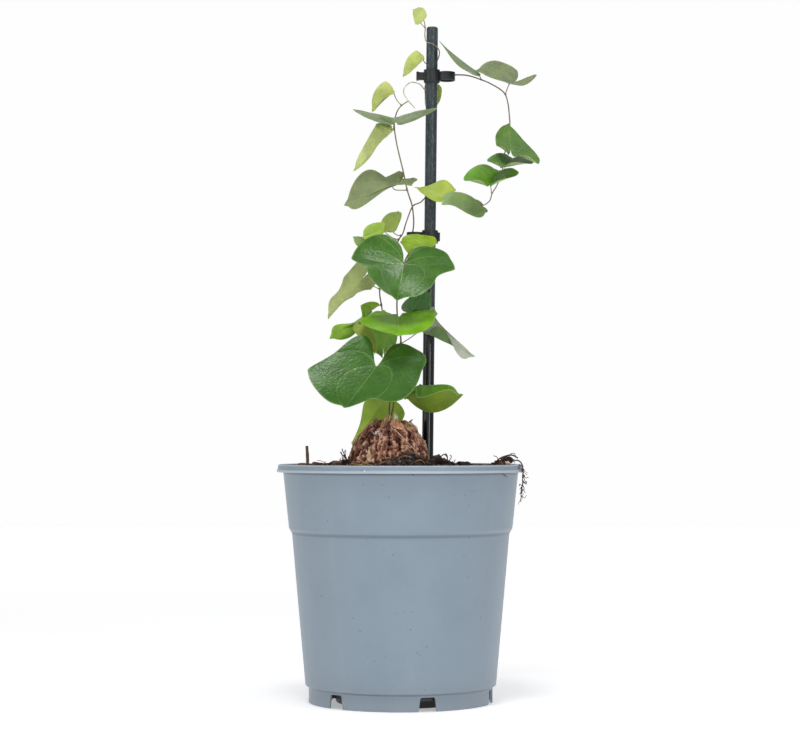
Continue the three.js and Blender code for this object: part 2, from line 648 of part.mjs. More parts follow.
// The middle surface thickened evenly to both sides, with both faces cut alike
function bladeGeometry(leaf, rings, sectors) {
  const { places, faces, border } = bladeSurface(leaf, rings, sectors);
  const middle = new THREE.BufferGeometry().setFromPoints(places);
  middle.setIndex(faces);
  middle.computeVertexNormals();
  const normal = middle.attributes.normal;
  const offset = (index, amount) => places[index].clone().addScaledVector(
    new THREE.Vector3().fromBufferAttribute(normal, index),
    amount,
  );
  const count = places.length;
  const upper = places.map((_, index) => offset(index, bladeThickness / 2));
  const lower = places.map((_, index) => offset(index, -bladeThickness / 2));
  const triangles = [...faces];
  for (let face = 0; face < faces.length; face += 3) {
    triangles.push(count + faces[face], count + faces[face + 2], count + faces[face + 1]);
  }
  border.forEach((start, index) => {
    const end = border[(index + 1) % border.length];
    triangles.push(count + start, count + end, end, count + start, end, start);
  });
  const geometry = new THREE.BufferGeometry().setFromPoints([...upper, ...lower]);
  geometry.setIndex(triangles);
  return geometry;
}

// The stalk bends from the joint to just short of the stem that carries it
function stalkGeometry(leaf) {
  const places = courses[leaf.stem];
  const joint = vector(leaf.joint);
  const share = leaf.at / (places.length - 1);
  const root = course(places).getPoint(share);
  const along = course(places).getTangent(share);
  const bends = leaf.stalk.map(vector);
  const last = bends.length > 0 ? bends[bends.length - 1] : joint;
  const away = last.clone().sub(root).projectOnPlane(along).normalize();
  root.addScaledVector(away, stems[leaf.stem].radius + stalkDiameter / 2 + clearance);
  const curve = new THREE.CatmullRomCurve3(
    [joint, ...bends, root].map((place) => place.clone().sub(joint)),
  );
  return tube(curve, stalkDiameter / 2, 2 + 2 * bends.length, 5);
}

function makeLeaf(leaf) {
  const reach = Math.max(vector(leaf.tip).length(), vector(leaf.right.side).length());
  const blade = solid(bladeGeometry(leaf, reach > 28 ? 3 : 2, reach > 20 ? 16 : 14));
  const body = blade.add(solid(stalkGeometry(leaf)));
  const mesh = piece(leaf.name, surface(body), leaf.colour, 0.45);
  mesh.position.set(...leaf.joint);
  return mesh;
}

function makeLitter(name, places, radius, colour) {
  const geometry = tube(course(places), radius, 2 * (places.length - 1), 7);
  return piece(name, surface(solid(geometry)), colour, 0.9);
}

const group = new THREE.Group();
group.add(makePot());
group.add(makeSoil());
group.add(makeCaudex());
group.add(piece("stake", surface(solid(stakeCylinder(stakeDiameter / 2, 0))), 0x2c3437, 0.35));
group.add(makeClip("clip_upper", upperClipHeight, 0));
group.add(makeClip("clip_lower", lowerClipHeight, Math.PI));
for (const key of Object.keys(stems)) {
  group.add(makeStem(key));
}
for (const leaf of leaves) {
  group.add(makeLeaf(leaf));
}
group.add(makeLitter("dry_stick", stickCourse, stickRadius, 0x5a4234));
group.add(makeLitter("root_strand", rootCourse, rootRadius, 0x4d3a2c));

export default group;
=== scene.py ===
"""Dresses a potted climbing caudex yam: leaves with veins and waved edges, twining stems, a
cracked corky caudex, loose soil, a moulded nursery pot, and a coated stake with two clips.

Sizes in the tables below are in millimetres, in the frame of the CAD model: the origin is the
middle of the pot's base, +X is to the right, +Y away from the viewer and +Z up.
"""

import math

import bpy
import numpy as np
from bpy.props import FloatProperty, FloatVectorProperty, IntProperty, PointerProperty
from bpy.types import Operator, Panel, PropertyGroup
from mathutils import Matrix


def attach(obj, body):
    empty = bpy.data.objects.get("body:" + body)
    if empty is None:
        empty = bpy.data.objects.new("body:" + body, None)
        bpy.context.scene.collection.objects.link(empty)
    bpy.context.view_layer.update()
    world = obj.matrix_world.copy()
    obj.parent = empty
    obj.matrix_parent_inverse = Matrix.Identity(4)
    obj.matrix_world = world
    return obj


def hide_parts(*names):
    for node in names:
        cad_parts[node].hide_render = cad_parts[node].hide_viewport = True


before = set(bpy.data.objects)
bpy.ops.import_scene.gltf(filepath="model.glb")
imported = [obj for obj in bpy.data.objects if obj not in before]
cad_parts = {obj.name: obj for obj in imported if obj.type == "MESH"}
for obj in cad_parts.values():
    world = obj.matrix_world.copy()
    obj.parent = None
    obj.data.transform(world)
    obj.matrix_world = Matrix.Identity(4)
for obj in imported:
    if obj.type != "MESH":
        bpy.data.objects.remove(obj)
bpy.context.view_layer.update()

bl_info = {
    "name": "Potted caudex yam",
    "version": (1, 0, 0),
    "blender": (4, 5, 0),
    "location": "View3D > Sidebar > Yam",
    "description": "Builds a potted climbing yam piece by piece",
    "category": "Add Mesh",
}

MM = 0.001

# The CAD import has materials of its own, so the ones made here start with this
PREFIX = "dressed_"

# Edges sharper than this aren't shaded smooth
SHARP_ANGLE = math.radians(48.0)

# Cells on each side of the noise's lattice
NOISE_CELLS = 24

# Pot
POT_HEIGHT = 162.0
RIM_RADIUS = 85.0
UPPER_RADIUS = 80.5
SHOULDER_RADIUS = 76.5
LOWER_RADIUS = 74.5
HEEL_RADIUS = 65.2
FOOT_RADIUS = 62.8
FOOT_HEIGHT = 10.5
NOTCH_AZIMUTHS = np.radians(16.5 + 60.0 * np.arange(6))
POT_SEGMENTS = 192

# Painted shade lines on the pot, under the rim, the shoulder and the step over the foot, in metres: two
# heights where it sets in, two where it ends, strength
PAINTED_SHADE_LINES = (
    (0.1548, 0.1564, 0.1567, 0.1571, 0.7),
    (0.1136, 0.1152, 0.1158, 0.1172, 0.4),
    (0.0100, 0.0106, 0.0112, 0.0122, 0.45),
)

# A pale scrape on the front of the rim: x and z in metres
SCRAPE = (-0.0236, 0.1586)

# Soil
SOIL_EDGE = 158.0
SOIL_RADIUS = 78.3
LITTER_REACH = 77.0
SOIL_SECTORS = 300
SOIL_RINGS = 130

# Caudex
CAUDEX_CENTRE = (-9.0, -8.0)
CAUDEX_LEAN = 3.0
CAUDEX_FOOT = 150.0
CAUDEX_RINGS = 225
CAUDEX_SECTORS = 420
CAUDEX_PLATES = 150
CAUDEX_CLEAR = 27.5

# Stake and clips
STAKE_FOOT = np.array((17.1, 14.0, 42.0))
STAKE_HEAD = np.array((22.0, 14.0, 466.0))
STAKE_RADIUS = 4.0
STAKE_CLEAR = 5.5
STAKE_AT_SOIL = (18.4, 14.0)
COLLAR_RADIUS = 4.36
CLIP_WALL = 1.0
RING_RADIUS = 6.0
RING_OFFSET = 10.26
CLIPS = (("clip_upper", 431.5, 1.0, 6.4), ("clip_lower", 319.5, -1.0, 2.6))

# Stems: radius, finish and slot
STEMS = {
    "main": (0.52, "stem_bark", "stem"),
    "second": (0.44, "stem_bark", "stem"),
    "hanging": (0.44, "stem_bark", "stem"),
    "tendril": (0.4, "shoot_skin", "young_stem"),
}
STEM_STEPS = 14
STEM_LOW = (104, 84, 72)
STEM_HIGH = (150, 136, 108)
TENDRIL_TONE = (214, 216, 180)

# Courses of the stems, root first
COURSES = {
    "main": (
        (-8, -8, 195.4), (-7.5, -9, 204), (-5.5, -8, 223.5), (0, -6, 244.5), (-2, -5, 259.5),
        (-2.5, -4, 274.5), (0, -2, 290), (3, 4, 302), (6.5, 10, 310), (8, 11.5, 320), (9, 11.5, 329),
        (8.5, 9.5, 336.5), (7.5, 7.5, 342), (4.5, 4, 351), (1.5, 0, 364.5), (-2.5, -2, 381),
        (-4.5, -3, 394.5), (-3.5, -3, 401.5), (-2, -2, 405.5), (0.5, 0, 409), (5, 3, 412.5),
    ),
    "second": (
        (-6.5, -5, 195.6), (-5, 2, 204.5), (-8, 10, 224), (-7.5, 14, 239.5), (-11.5, 15, 255),
        (-13, 15, 269.5), (-14.5, 12, 283), (-10, 12, 300.5), (-1.5, 10, 317), (1.5, 8, 321.5),
        (3.5, 6, 328), (7, 4.5, 337.5), (9.3, 5, 340.8), (12.5, 9, 342.5), (15.5, 17, 345.5),
        (20.5, 21, 353), (19.5, 21, 367), (19, 21, 388), (18.5, 20.5, 409), (17, 18, 422.5),
        (19, 21, 433), (23.5, 21, 440), (26.5, 16.5, 445.5), (26.5, 11, 449.5), (22.5, 8.3, 453),
        (18, 10, 455), (16.8, 12, 459.5), (17, 12, 465), (16, 11, 470.5), (13.5, 10, 476),
        (12, 10, 479),
    ),
    "hanging": (
        (22, 20.5, 430), (26, 23, 432), (31, 23, 433), (37, 20.5, 433.5), (46, 13, 432),
        (54.5, 9, 428.8), (61, 5, 425.5), (68, 2, 421), (72, 1, 417), (74, 2, 411), (75, 4, 403.5),
        (75.5, 6, 395.5), (74.5, 8, 387.5), (72.5, 9, 379.5), (71.5, 9.5, 372.5), (70.5, 9, 365.5),
        (68.5, 8, 359), (66, 5, 353.5), (63, 1, 348.5), (61.5, -4, 343.5), (59, -8, 340.5),
        (56.5, -10, 339),
    ),
    "tendril": (
        (16.3, 17.2, 423), (13, 13, 426), (7.5, 9, 426.5), (3.5, 6, 423.5), (2, 5, 419), (5, 5, 413.5),
        (10, 6, 408),
    ),
}

# Leaves in the order of their numbers. The joint is where stalk and blade meet, and the tip and
# the places on each half's edge, side, front, near and back, are relative to it. The gap is the
# notch's share of each half in degrees, right and left, the lobe the length behind the joint as
# a share of the tip's, and the sag bows the midrib. A bulge of the edge has its degrees from the
# apex, its height and its width. From the joint the stalk passes its bends to the place numbered
# at on its stem's course. Upper and under are the colours of the two faces.
LEAVES = (
    dict(
        joint=(-16.5, -26, 228), tip=(-21, -14, -28), gap=(35, 5),
        right=dict(
            side=(-46, -4, -1), front=(-38, -12, -18), back=(-20, 6, 20),
            bulges=((91, 0.03, 6), (110, -0.13, 14)),
        ),
        left=dict(
            side=(33, 6, -2), front=(14, -8, -24), back=(20, 14, 17),
            bulges=((92, -0.06, 22), (24, -0.22, 15), (132, -0.06, 12)),
        ),
        stem="main", at=2.6, bends=((-11, -17, 231),),
        upper=(62, 107, 34), under=(140, 160, 90), slot="leaf_mature",
    ),
    dict(
        joint=(2, -22, 297), tip=(-4.5, -12, -24), gap=(5, 12),
        right=dict(
            side=(-35.5, 8, 6), front=(-21, -10, -10), back=(-15.5, 10, 22.5),
            bulges=((87, 0.03, 5), (68, -0.17, 13), (24, 0.03, 12)),
        ),
        left=dict(
            side=(35, 10, 0), front=(21.5, -8, -13), back=(17.5, 8, 13.5),
            bulges=((84, 0.05, 7), (62, -0.2, 17), (24, 0.1, 14), (105, -0.05, 10)),
        ),
        stem="main", at=6, bends=((2, -12, 294),),
        upper=(66, 111, 34), under=(140, 160, 90), slot="leaf_mature",
    ),
    dict(
        joint=(-1, -10, 262.5), tip=(-0.5, -26, -13), gap=(25, 25),
        right=dict(side=(-27.5, -4, -1.5), front=(-18, -22, -8), back=(-11.5, 11, 1.5)),
        left=dict(side=(24.5, -4, 4), front=(18, -22, -8.5), back=(9.5, 11, 3.5)),
        stem="main", at=3.8,
        upper=(121, 178, 14), under=(120, 150, 60), slot="leaf_green",
    ),
    dict(
        joint=(5, -16, 206.5), tip=(36, -6, 4), lobe=0.2, sag=(0, 0, -11),
        right=dict(side=(7, -10, 7), front=(19, -13, 5), near=(30, -11, 8)),
        left=dict(side=(9, 12, 11), front=(22, 12, 11), near=(31, 4, 10)),
        stem="main", at=1.6, bends=((-1, -13, 211),),
        upper=(97, 150, 36), under=(121, 147, 45), slot="leaf_green",
    ),
    dict(
        joint=(-11.5, 18, 206.5), tip=(-22, -2, -32), lobe=0.15,
        right=dict(side=(17, 2, -12), front=(3, 1, -24), bulges=((110, -0.2, 45),)),
        left=dict(side=(-14, 5, -3), front=(-17, 2, -21), back=(-3, 4, 11)),
        stem="second", at=1.2,
        # Both faces are raised in colour as painted light, for the light that shines through this leaf
        # from behind
        upper=(104, 148, 50), under=(158, 189, 69), slot="leaf_mature",
    ),
    dict(
        joint=(-27.5, 6, 288.5), tip=(-23, -10, -27), lobe=0.9, gap=(3, 3),
        right=dict(side=(5.5, 4, -6.5), front=(-12, -4, -14), back=(9, 8, 2), near=(-20, -6, -21)),
        left=dict(side=(-12, -2, 2), front=(-20, -6, -12), back=(1, 6, 15.5), near=(-23, -8, -18)),
        stem="second", at=6, bends=((-21, 10, 286),),
        upper=(112, 160, 70), under=(166, 178, 120), slot="leaf_green",
    ),
    dict(
        joint=(-22.5, 3, 266), tip=(-26, -9, -18), lobe=0.6,
        right=dict(side=(-5, -2, 5), front=(-16, -7, -8), back=(7, 2, 7), near=(-25, -8, -10)),
        left=dict(side=(-5, -2, -6), front=(-13, -7, -17), back=(-1, 2, -3), near=(-20, -8, -19)),
        stem="second", at=5.2, bends=((-19, 9, 270),),
        upper=(134, 175, 53), under=(160, 178, 105), slot="leaf_green",
    ),
    dict(
        joint=(-12, 6, 242.5), tip=(0.5, 5, 26.5),
        right=dict(side=(9.5, -1, 9.5), front=(9, 3, 20), back=(3.5, -3, 1.5)),
        left=dict(side=(-13, 2, 10), front=(-9, 4, 23), back=(-4, -3, -3.5)),
        stem="second", at=3,
        upper=(146, 192, 94), under=(172, 196, 124), slot="leaf_green",
    ),
    dict(
        joint=(16, 2, 280.5), tip=(-7.5, -5, -12.5), lobe=0.3,
        right=dict(side=(-11, -7, -5.5), front=(-13, -7, -10), bulges=((20, 0.26, 45),)),
        left=dict(side=(5, 4, -5.5), front=(2, 2, -11.5), bulges=((0, 0.26, 60),)),
        stem="main", at=5.6, bends=((8, 0, 284),),
        upper=(60, 105, 48), under=(130, 150, 100), slot="leaf_mature",
    ),
    dict(
        joint=(14, -2, 254), tip=(37, -8, -19), lobe=0.2,
        right=dict(side=(12, 6, 11), front=(20, -2, -3), back=(8, 10, 15), near=(31, -6, -13)),
        left=dict(side=(5, -4, -4), front=(21, -8, -12), near=(29, -10, -22)),
        stem="main", at=3, bends=((6.5, -4, 248.5),),
        upper=(98, 124, 76), under=(166, 172, 162), slot="leaf_mature",
    ),
    dict(
        joint=(20, -4, 311), tip=(-20.5, -4, 3), lobe=0.25,
        right=dict(side=(2, 2, 7.5), front=(-14.5, -4, 8)),
        left=dict(side=(0, 0, -10.5), front=(-12.5, -4, -6.5)),
        stem="main", at=8.3, bends=((15, 2, 313),),
        upper=(147, 181, 40), under=(156, 182, 57), slot="leaf_young",
    ),
    dict(
        joint=(-13, 0, 323.5), tip=(-13, -6, -6), lobe=0.3,
        right=dict(side=(-0.5, 0, 5), front=(-10, -6, 1.5)),
        left=dict(side=(-1.5, -2, -5), front=(-9, -6, -8)),
        stem="second", at=8, bends=((-7, 6, 319),),
        upper=(172, 203, 84), under=(170, 190, 100), slot="leaf_young",
    ),
    dict(
        joint=(-5.5, 8, 322.5), tip=(4, 4, 14.5), lobe=0.1,
        right=dict(side=(-9, 0, 2), front=(-5, 4, 11.5)),
        left=dict(side=(3, 0, 2), front=(6, 4, 11.5)),
        stem="second", at=8.4, bends=((-3, 8.5, 320.5),),
        upper=(130, 170, 70), under=(165, 185, 100), slot="leaf_young",
    ),
    dict(
        joint=(-27.5, -5, 257), tip=(10, -8, -21), lobe=0.2,
        right=dict(side=(5.5, 2, 0), front=(11.5, -6, -13.5)),
        left=dict(side=(-5, -2, -3.5), front=(2, -8, -12.5)),
        stem="second", at=4.2, bends=((-27.5, 4, 254.5), (-26.5, 12, 256)),
        upper=(85, 133, 50), under=(160, 180, 79), slot="leaf_green",
    ),
    dict(
        joint=(-6, -8, 353.5), tip=(-33, -6, -15),
        right=dict(side=(13, 0, 0), front=(-14, -2, -11), back=(5, 2, 3), near=(-27, -6, -19)),
        left=dict(side=(-5, 4, 4), front=(-22, -2, 7), back=(7, 2, 10), near=(-29, -6, -3)),
        stem="main", at=13, bends=((-4, -3, 350.5),),
        upper=(66, 108, 50), under=(128, 140, 100), slot="leaf_mature",
    ),
    dict(
        joint=(-6.5, -6, 391), tip=(-26, -4, -29), lobe=0.15,
        right=dict(side=(-5, 6, -4), front=(-12, 2, -12), near=(-21, -2, -25)),
        left=dict(side=(-11, 6, 4), front=(-18, 0, -10), back=(-4, 10, 5), near=(-24, -2, -22)),
        stem="main", at=15.9,
        upper=(104, 145, 58), under=(194, 205, 136), slot="leaf_green",
    ),
    dict(
        joint=(-4, -8, 396.5), tip=(-0.5, -26, 0),
        right=dict(side=(-28.5, -4, 9.5), front=(-16, -20, 4.5), back=(-12.5, 18, 4)),
        left=dict(side=(28.5, -4, 10), front=(14.5, -20, 5.5), back=(12.5, 16, 4.5)),
        stem="main", at=16.1,
        upper=(76, 118, 62), under=(128, 148, 104), slot="leaf_mature",
    ),
    dict(
        joint=(-5, 2, 419), tip=(-14.5, -8, -14.5), lobe=0.1,
        right=dict(side=(-5.5, 0, 7.5), front=(-13, -6, -1.5)),
        left=dict(side=(-0.5, -4, -2), front=(-7.5, -7.5, -6)),
        stem="main", at=19, bends=((-3, 1, 413.5),),
        upper=(190, 198, 116), under=(184, 191, 120), slot="leaf_young",
    ),
    dict(
        joint=(16, 10, 443.5), tip=(-14.5, -8, -14), lobe=0.1,
        right=dict(side=(-5.5, -2, 5), front=(-12, -6, -2.5)),
        left=dict(side=(-3, -2, -4), front=(-9, -6, -10)),
        stem="second", at=20.7, bends=((16.5, 17, 442),),
        upper=(184, 195, 110), under=(184, 192, 120), slot="leaf_young",
    ),
    dict(
        joint=(13.5, 8, 468), tip=(-5.5, -4, 8.5), lobe=0.1,
        right=dict(side=(-3.5, -2, -1.5), front=(-5, -4, 4)),
        left=dict(side=(4.5, 0, 5), front=(1.5, -2, 10)),
        stem="second", at=27,
        upper=(185, 210, 100), under=(200, 212, 130), slot="leaf_young",
    ),
    dict(
        joint=(21, 22, 426), tip=(-0.5, 2, -15), lobe=0.3,
        right=dict(side=(8, -2, -3)),
        left=dict(side=(-4, 2, -6)),
        stem="second", at=19.2,
        upper=(165, 195, 85), under=(180, 200, 105), slot="leaf_young",
    ),
    dict(
        joint=(54, 0, 430.5), tip=(-28, 8, 24), lobe=0.1,
        right=dict(side=(-7, -20, -3), front=(-18, -10, 7)),
        left=dict(side=(-5, 18, 6), front=(-15, 16, 14)),
        stem="hanging", at=5.2,
        upper=(72, 112, 62), under=(120, 136, 104), slot="leaf_mature",
    ),
    dict(
        joint=(74.5, -8, 423), tip=(-23, 4, 9.5), lobe=0.2,
        right=dict(side=(9.5, -4, -2.5), front=(-9.5, -8, 1), back=(19, 2, 5)),
        left=dict(side=(5, 12, 11), front=(-11, 12, 17)),
        stem="hanging", at=8,
        upper=(72, 110, 56), under=(119, 131, 95), slot="leaf_mature",
    ),
    dict(
        joint=(-22.5, -4, 313.5), tip=(-10.5, -2, 4.5), lobe=0.3,
        right=dict(side=(-2.5, -2, -4.5), front=(-8, -2, -1.5)),
        left=dict(side=(0, 0, 3.5), front=(-5.5, -1, 4.5)),
        stem="second", at=7.4, bends=((-16, 4, 311),),
        upper=(100, 145, 60), under=(130, 160, 90), slot="leaf_green",
    ),
    dict(
        joint=(74.5, -18, 376.5), tip=(-0.5, 14, 20),
        right=dict(side=(20, -4, -6.5), front=(10, 8, 8), back=(12, -12, -6)),
        left=dict(side=(-9.5, 2, 8), front=(-7, 10, 15.5), back=(-5, -6, 1.5)),
        stem="hanging", at=12.6, bends=((74, -8, 378.5),),
        upper=(87, 124, 52), under=(150, 168, 120), slot="leaf_green",
    ),
    dict(
        joint=(70.5, -22, 364.5), tip=(6.5, 22, 9),
        right=dict(side=(20, 4, 4), front=(12.5, 14, 9.5), back=(5.5, -12, 1.5)),
        left=dict(side=(-11, -2, 5.5), front=(-1, 14, 11.5), back=(-6, -14, 1.5)),
        stem="hanging", at=14.4, bends=((70.5, -8, 367.5),),
        upper=(90, 136, 56), under=(150, 168, 120), slot="leaf_green",
    ),
    dict(
        joint=(61, -24, 352), tip=(6.5, 22, 13),
        right=dict(side=(19, 4, 9.5), front=(13.5, 16, 13.5), back=(5, -14, 2)),
        left=dict(side=(-18, -4, 5), front=(-6, 12, 15.5), back=(-9, -18, 1.5)),
        stem="hanging", at=18, bends=((62, -12, 347),),
        upper=(102, 156, 42), under=(150, 172, 104), slot="leaf_green",
    ),
    dict(
        joint=(54, -12, 338.5), tip=(-26, -10, 0.5), lobe=0.2,
        right=dict(side=(-3, 6, 6), front=(-19, -4, 9.5), near=(-26, -8, 6.5)),
        left=dict(side=(3.5, -4, -4), front=(-11, -10, -3.5), near=(-20.5, -10, 0.5)),
        stem="hanging", at=21,
        upper=(130, 155, 101), under=(132, 158, 104), slot="leaf_green",
    ),
    dict(
        joint=(34, 0, 349.5), tip=(-25, -2, 3.5), lobe=0.1,
        right=dict(side=(3.5, 4, 3), front=(-10.5, 2, 7), near=(-18, 0, 4)),
        left=dict(side=(0.5, -2, -3.5), front=(-14.5, -4, -4.5), near=(-21.5, -2, 0)),
        stem="second", at=14.6, bends=((29, 12, 347), (24.5, 19.5, 348)),
        upper=(180, 199, 82), under=(176, 195, 76), slot="leaf_young",
    ),
)

STALK_RADIUS = 0.4

# Veins besides the midrib: start and width of each spiral in degrees
VEIN_SPIRALS = ((120, 120), (146, 45), (171, 34))

# Litter
SPRIG_FOOT = np.array((-37.5, -20, 161))
SPRIG_THREADS = 16
STICK_COURSE = ((-64.5, 2, 151), (-64, 2, 164), (-64.5, 1.5, 174.5))
ROOT_COURSE = (
    (66, -21, 163.6), (73, -24, 165.2), (79, -26, 164.6), (82.2, -27.3, 161), (82, -27.6, 154),
    (81.6, -27.4, 145), (80.4, -27, 137),
)


def srgb(red, green, blue):
    """A colour from 0 to 255 as Blender's linear RGBA."""
    share = np.array((red, green, blue)) / 255.0
    linear = np.where(share <= 0.04045, share / 12.92, ((share + 0.055) / 1.055) ** 2.4)
    return (*linear.tolist(), 1.0)


def unit(vectors):
    """The vectors at length one."""
    return vectors / np.maximum(np.linalg.norm(vectors, axis=-1, keepdims=True), 1e-12)


def noise(points, size, seed, octaves=3):
    """Smooth noise between about -1 and 1: random values on a lattice of that size, blended
    by the cubic 3t^2 - 2t^3 along each axis, and again at half the size and half the height."""
    total = np.zeros(points.shape[:-1])
    for octave in range(octaves):
        table = np.random.default_rng(seed + octave).uniform(-1.0, 1.0, (NOISE_CELLS,) * 3)
        place = points / size * 2.0 ** octave + 7.3 * octave
        cell = np.floor(place).astype(int)
        share = place - cell
        share = share * share * (3.0 - 2.0 * share)
        for corner in np.ndindex(2, 2, 2):
            index = (cell + corner) % NOISE_CELLS
            weight = np.prod(np.where(corner, share, 1.0 - share), axis=-1)
            total += weight * table[index[..., 0], index[..., 1], index[..., 2]] / 2.0 ** octave
    return total


def stray_of(points, size, seed, octaves):
    """Three noises with seeds that follow on, as one vector a point."""
    return np.stack([noise(points, size, seed + axis, octaves) for axis in range(3)], axis=-1)


def rotation(axis, angle):
    """The matrix that turns by an angle in radians about an axis, 0 for X to 2 for Z."""
    matrix = np.eye(3)
    one, two = (axis + 1) % 3, (axis + 2) % 3
    matrix[one, one] = matrix[two, two] = math.cos(angle)
    matrix[two, one] = math.sin(angle)
    matrix[one, two] = -math.sin(angle)
    return matrix


def smoothstep(low, high, value):
    """0 below low, 1 above high and 3t^2 - 2t^3 between."""
    share = np.clip((value - low) / (high - low), 0.0, 1.0)
    return share * share * (3.0 - 2.0 * share)


def grid_faces(rows, columns, closed=False, start=0):
    """Quads between the rows of a grid, whose last column joins the first where closed."""
    row, column = np.meshgrid(
        np.arange(rows - 1), np.arange(columns if closed else columns - 1), indexing="ij"
    )
    after = (column + 1) % columns
    corners = (row * columns + column, row * columns + after,
               (row + 1) * columns + after, (row + 1) * columns + column)
    return np.stack(corners, axis=-1).reshape(-1, 4) + start


def weld(points, faces):
    """Joins vertices that lie together. A quad that loses a corner becomes a triangle, written
    with its last corner twice, and one that loses two goes. Also gives each vertex's source."""
    _, first, index = np.unique(np.round(points, 4), axis=0, return_index=True, return_inverse=True)
    faces = index.reshape(-1)[faces]
    for _ in range(3):
        repeated = (faces[:, 2] == faces[:, 3])[:, None]
        faces = np.where(repeated, faces, np.roll(faces, 1, axis=1))
    distinct = 1 + np.count_nonzero(np.diff(np.sort(faces, axis=1), axis=1), axis=1)
    return points[first], faces[distinct > 2], first


def thickened(middle, half):
    """Makes a grid of points a closed sheet: the grid moved by half its thickness along its
    normal to both sides, and joined round its border. The second half of the points is the
    lower face. The normal is (along the columns) x (down the rows)."""
    rows, columns = middle.shape[:2]
    normal = unit(np.cross(np.gradient(middle, axis=1), np.gradient(middle, axis=0)))
    if np.ptp(middle[0], axis=0).max() < 1e-6:
        normal[0] = unit(normal[1].mean(axis=0))
    offset = np.asarray(half, float)[..., None] * normal
    index = np.arange(rows * columns).reshape(rows, columns)
    border = np.concatenate((index[0, :-1], index[:-1, -1], index[-1, :0:-1], index[:0:-1, 0]))
    after = np.roll(border, -1)
    count = rows * columns
    upper = grid_faces(rows, columns)
    edge = np.stack((after, border, border + count, after + count), axis=-1)
    points = np.vstack(((middle + offset).reshape(-1, 3), (middle - offset).reshape(-1, 3)))
    return points, np.vstack((upper, upper[:, ::-1] + count, edge))


class Parts:
    """Vertices, faces and point values of several surfaces that become one piece."""

    def __init__(self):
        self.points = []
        self.faces = []
        self.finishes = []
        self.smooths = []
        self.values = {}
        self.count = 0

    def add(self, points, faces, finish=0, smooth=True, **values):
        """Adds a surface. Each value is one row of four numbers, or one row a vertex."""
        before = points.reshape(-1, 3)
        points, faces, first = weld(before, faces)
        self.points.append(points)
        self.faces.append(faces + self.count)
        self.finishes.append(np.full(len(faces), finish))
        self.smooths.append(np.full(len(faces), smooth))
        for name in sorted(set(self.values) | set(values)):
            rows = self.values.setdefault(name, [np.zeros((self.count, 4))])
            given = np.broadcast_to(values.get(name, np.zeros(4)), (len(before), 4))
            rows.append(given[first])
        self.count += len(points)

    def piece(self, name, finishes, slot, node=None):
        """Makes the mesh, gives it its finishes, and rides it on the pot's body."""
        points = np.concatenate(self.points) * MM
        faces = np.concatenate(self.faces)
        sizes = np.where(faces[:, 2] == faces[:, 3], 3, 4)
        keep = np.arange(4)[None, :] < sizes[:, None]
        corners = faces[keep]
        mesh = bpy.data.meshes.new(name)
        mesh.vertices.add(len(points))
        mesh.vertices.foreach_set("co", points.astype(np.float32).ravel())
        mesh.loops.add(len(corners))
        mesh.loops.foreach_set("vertex_index", corners.astype(np.int32))
        mesh.polygons.add(len(faces))
        starts = np.concatenate(((0,), np.cumsum(sizes)[:-1]))
        mesh.polygons.foreach_set("loop_start", starts.astype(np.int32))
        mesh.polygons.foreach_set("material_index", np.concatenate(self.finishes).astype(np.int32))
        mesh.polygons.foreach_set("use_smooth", np.concatenate(self.smooths))
        for value, rows in self.values.items():
            layer = mesh.attributes.new(value, "FLOAT_COLOR", "POINT")
            layer.data.foreach_set("color", np.concatenate(rows).astype(np.float32).ravel())
        mesh.update(calc_edges=True)
        mesh.validate()
        mesh.set_sharp_from_angle(angle=SHARP_ANGLE)
        for finish in finishes:
            mesh.materials.append(bpy.data.materials[PREFIX + finish])
        piece = bpy.data.objects.new(name, mesh)
        bpy.context.scene.collection.objects.link(piece)
        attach(piece, "root")
        if node:
            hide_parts(node)
        return piece


def curve_points(places, per_span):
    """A uniform Catmull-Rom curve through the places: on each span the cubic whose slope at a
    place is half the step between its neighbours, the ends mirrored."""
    places = np.array(places, float)
    first, last = 2 * places[0] - places[1], 2 * places[-1] - places[-2]
    path = np.vstack((first, places, last))
    share = np.linspace(0.0, 1.0, per_span, endpoint=False)[None, :, None]
    a, b, c, d = (path[index:len(path) - 3 + index, None, :] for index in range(4))
    spans = b + 0.5 * share * (
        c - a + share * (2 * a - 5 * b + 4 * c - d + share * (3 * b - a - 3 * c + d))
    )
    return np.vstack((spans.reshape(-1, places.shape[1]), places[-1]))


def place_on(places, at):
    """The point and direction at a place number along the curve through the places."""
    path = curve_points(places, 64)
    index = min(int(round(at * 64)), len(path) - 1)
    ahead = path[min(index + 1, len(path) - 1)] - path[max(index - 1, 0)]
    return path[index], unit(ahead)


def swept(path, radius, sides, flat=1.0):
    """A round section carried along a path: point = path + r (cos a, sin a) in the plane
    across the path, kept from spinning by carrying one side vector along it. The ends close."""
    along = unit(np.gradient(path, axis=0))
    along = np.vstack((along[:1], along, along[-1:]))
    path = np.vstack((path[:1], path, path[-1:]))
    reach = np.zeros(len(path))
    reach[1:-1] = radius
    side = np.empty_like(path)
    start = np.cross(along[0], (0.31, 0.87, 0.38))
    for index, ahead in enumerate(along):
        start = unit(start - ahead * np.dot(start, ahead))
        side[index] = start
    angle = np.linspace(0.0, 2 * np.pi, sides, endpoint=False)[None, :, None]
    other = np.cross(along, side)
    ring = side[:, None] * np.cos(angle) + flat * other[:, None] * np.sin(angle)
    points = path[:, None] + reach[:, None, None] * ring
    return points, grid_faces(len(path), sides, closed=True)


def turned(profile, segments, centre=(0.0, 0.0)):
    """A profile of (radius, height) turned about the vertical through the centre. Drawn from
    the bottom outwards and up, its faces point outwards; it closes on itself."""
    profile = np.array(profile, float)
    angle = np.linspace(0.0, 2 * np.pi, segments, endpoint=False)[None, :]
    points = np.stack((
        centre[0] + profile[:, :1] * np.cos(angle),
        centre[1] + profile[:, :1] * np.sin(angle),
        np.broadcast_to(profile[:, 1:], (len(profile), segments)),
    ), axis=-1)
    return points, grid_faces(len(profile), segments, closed=True)


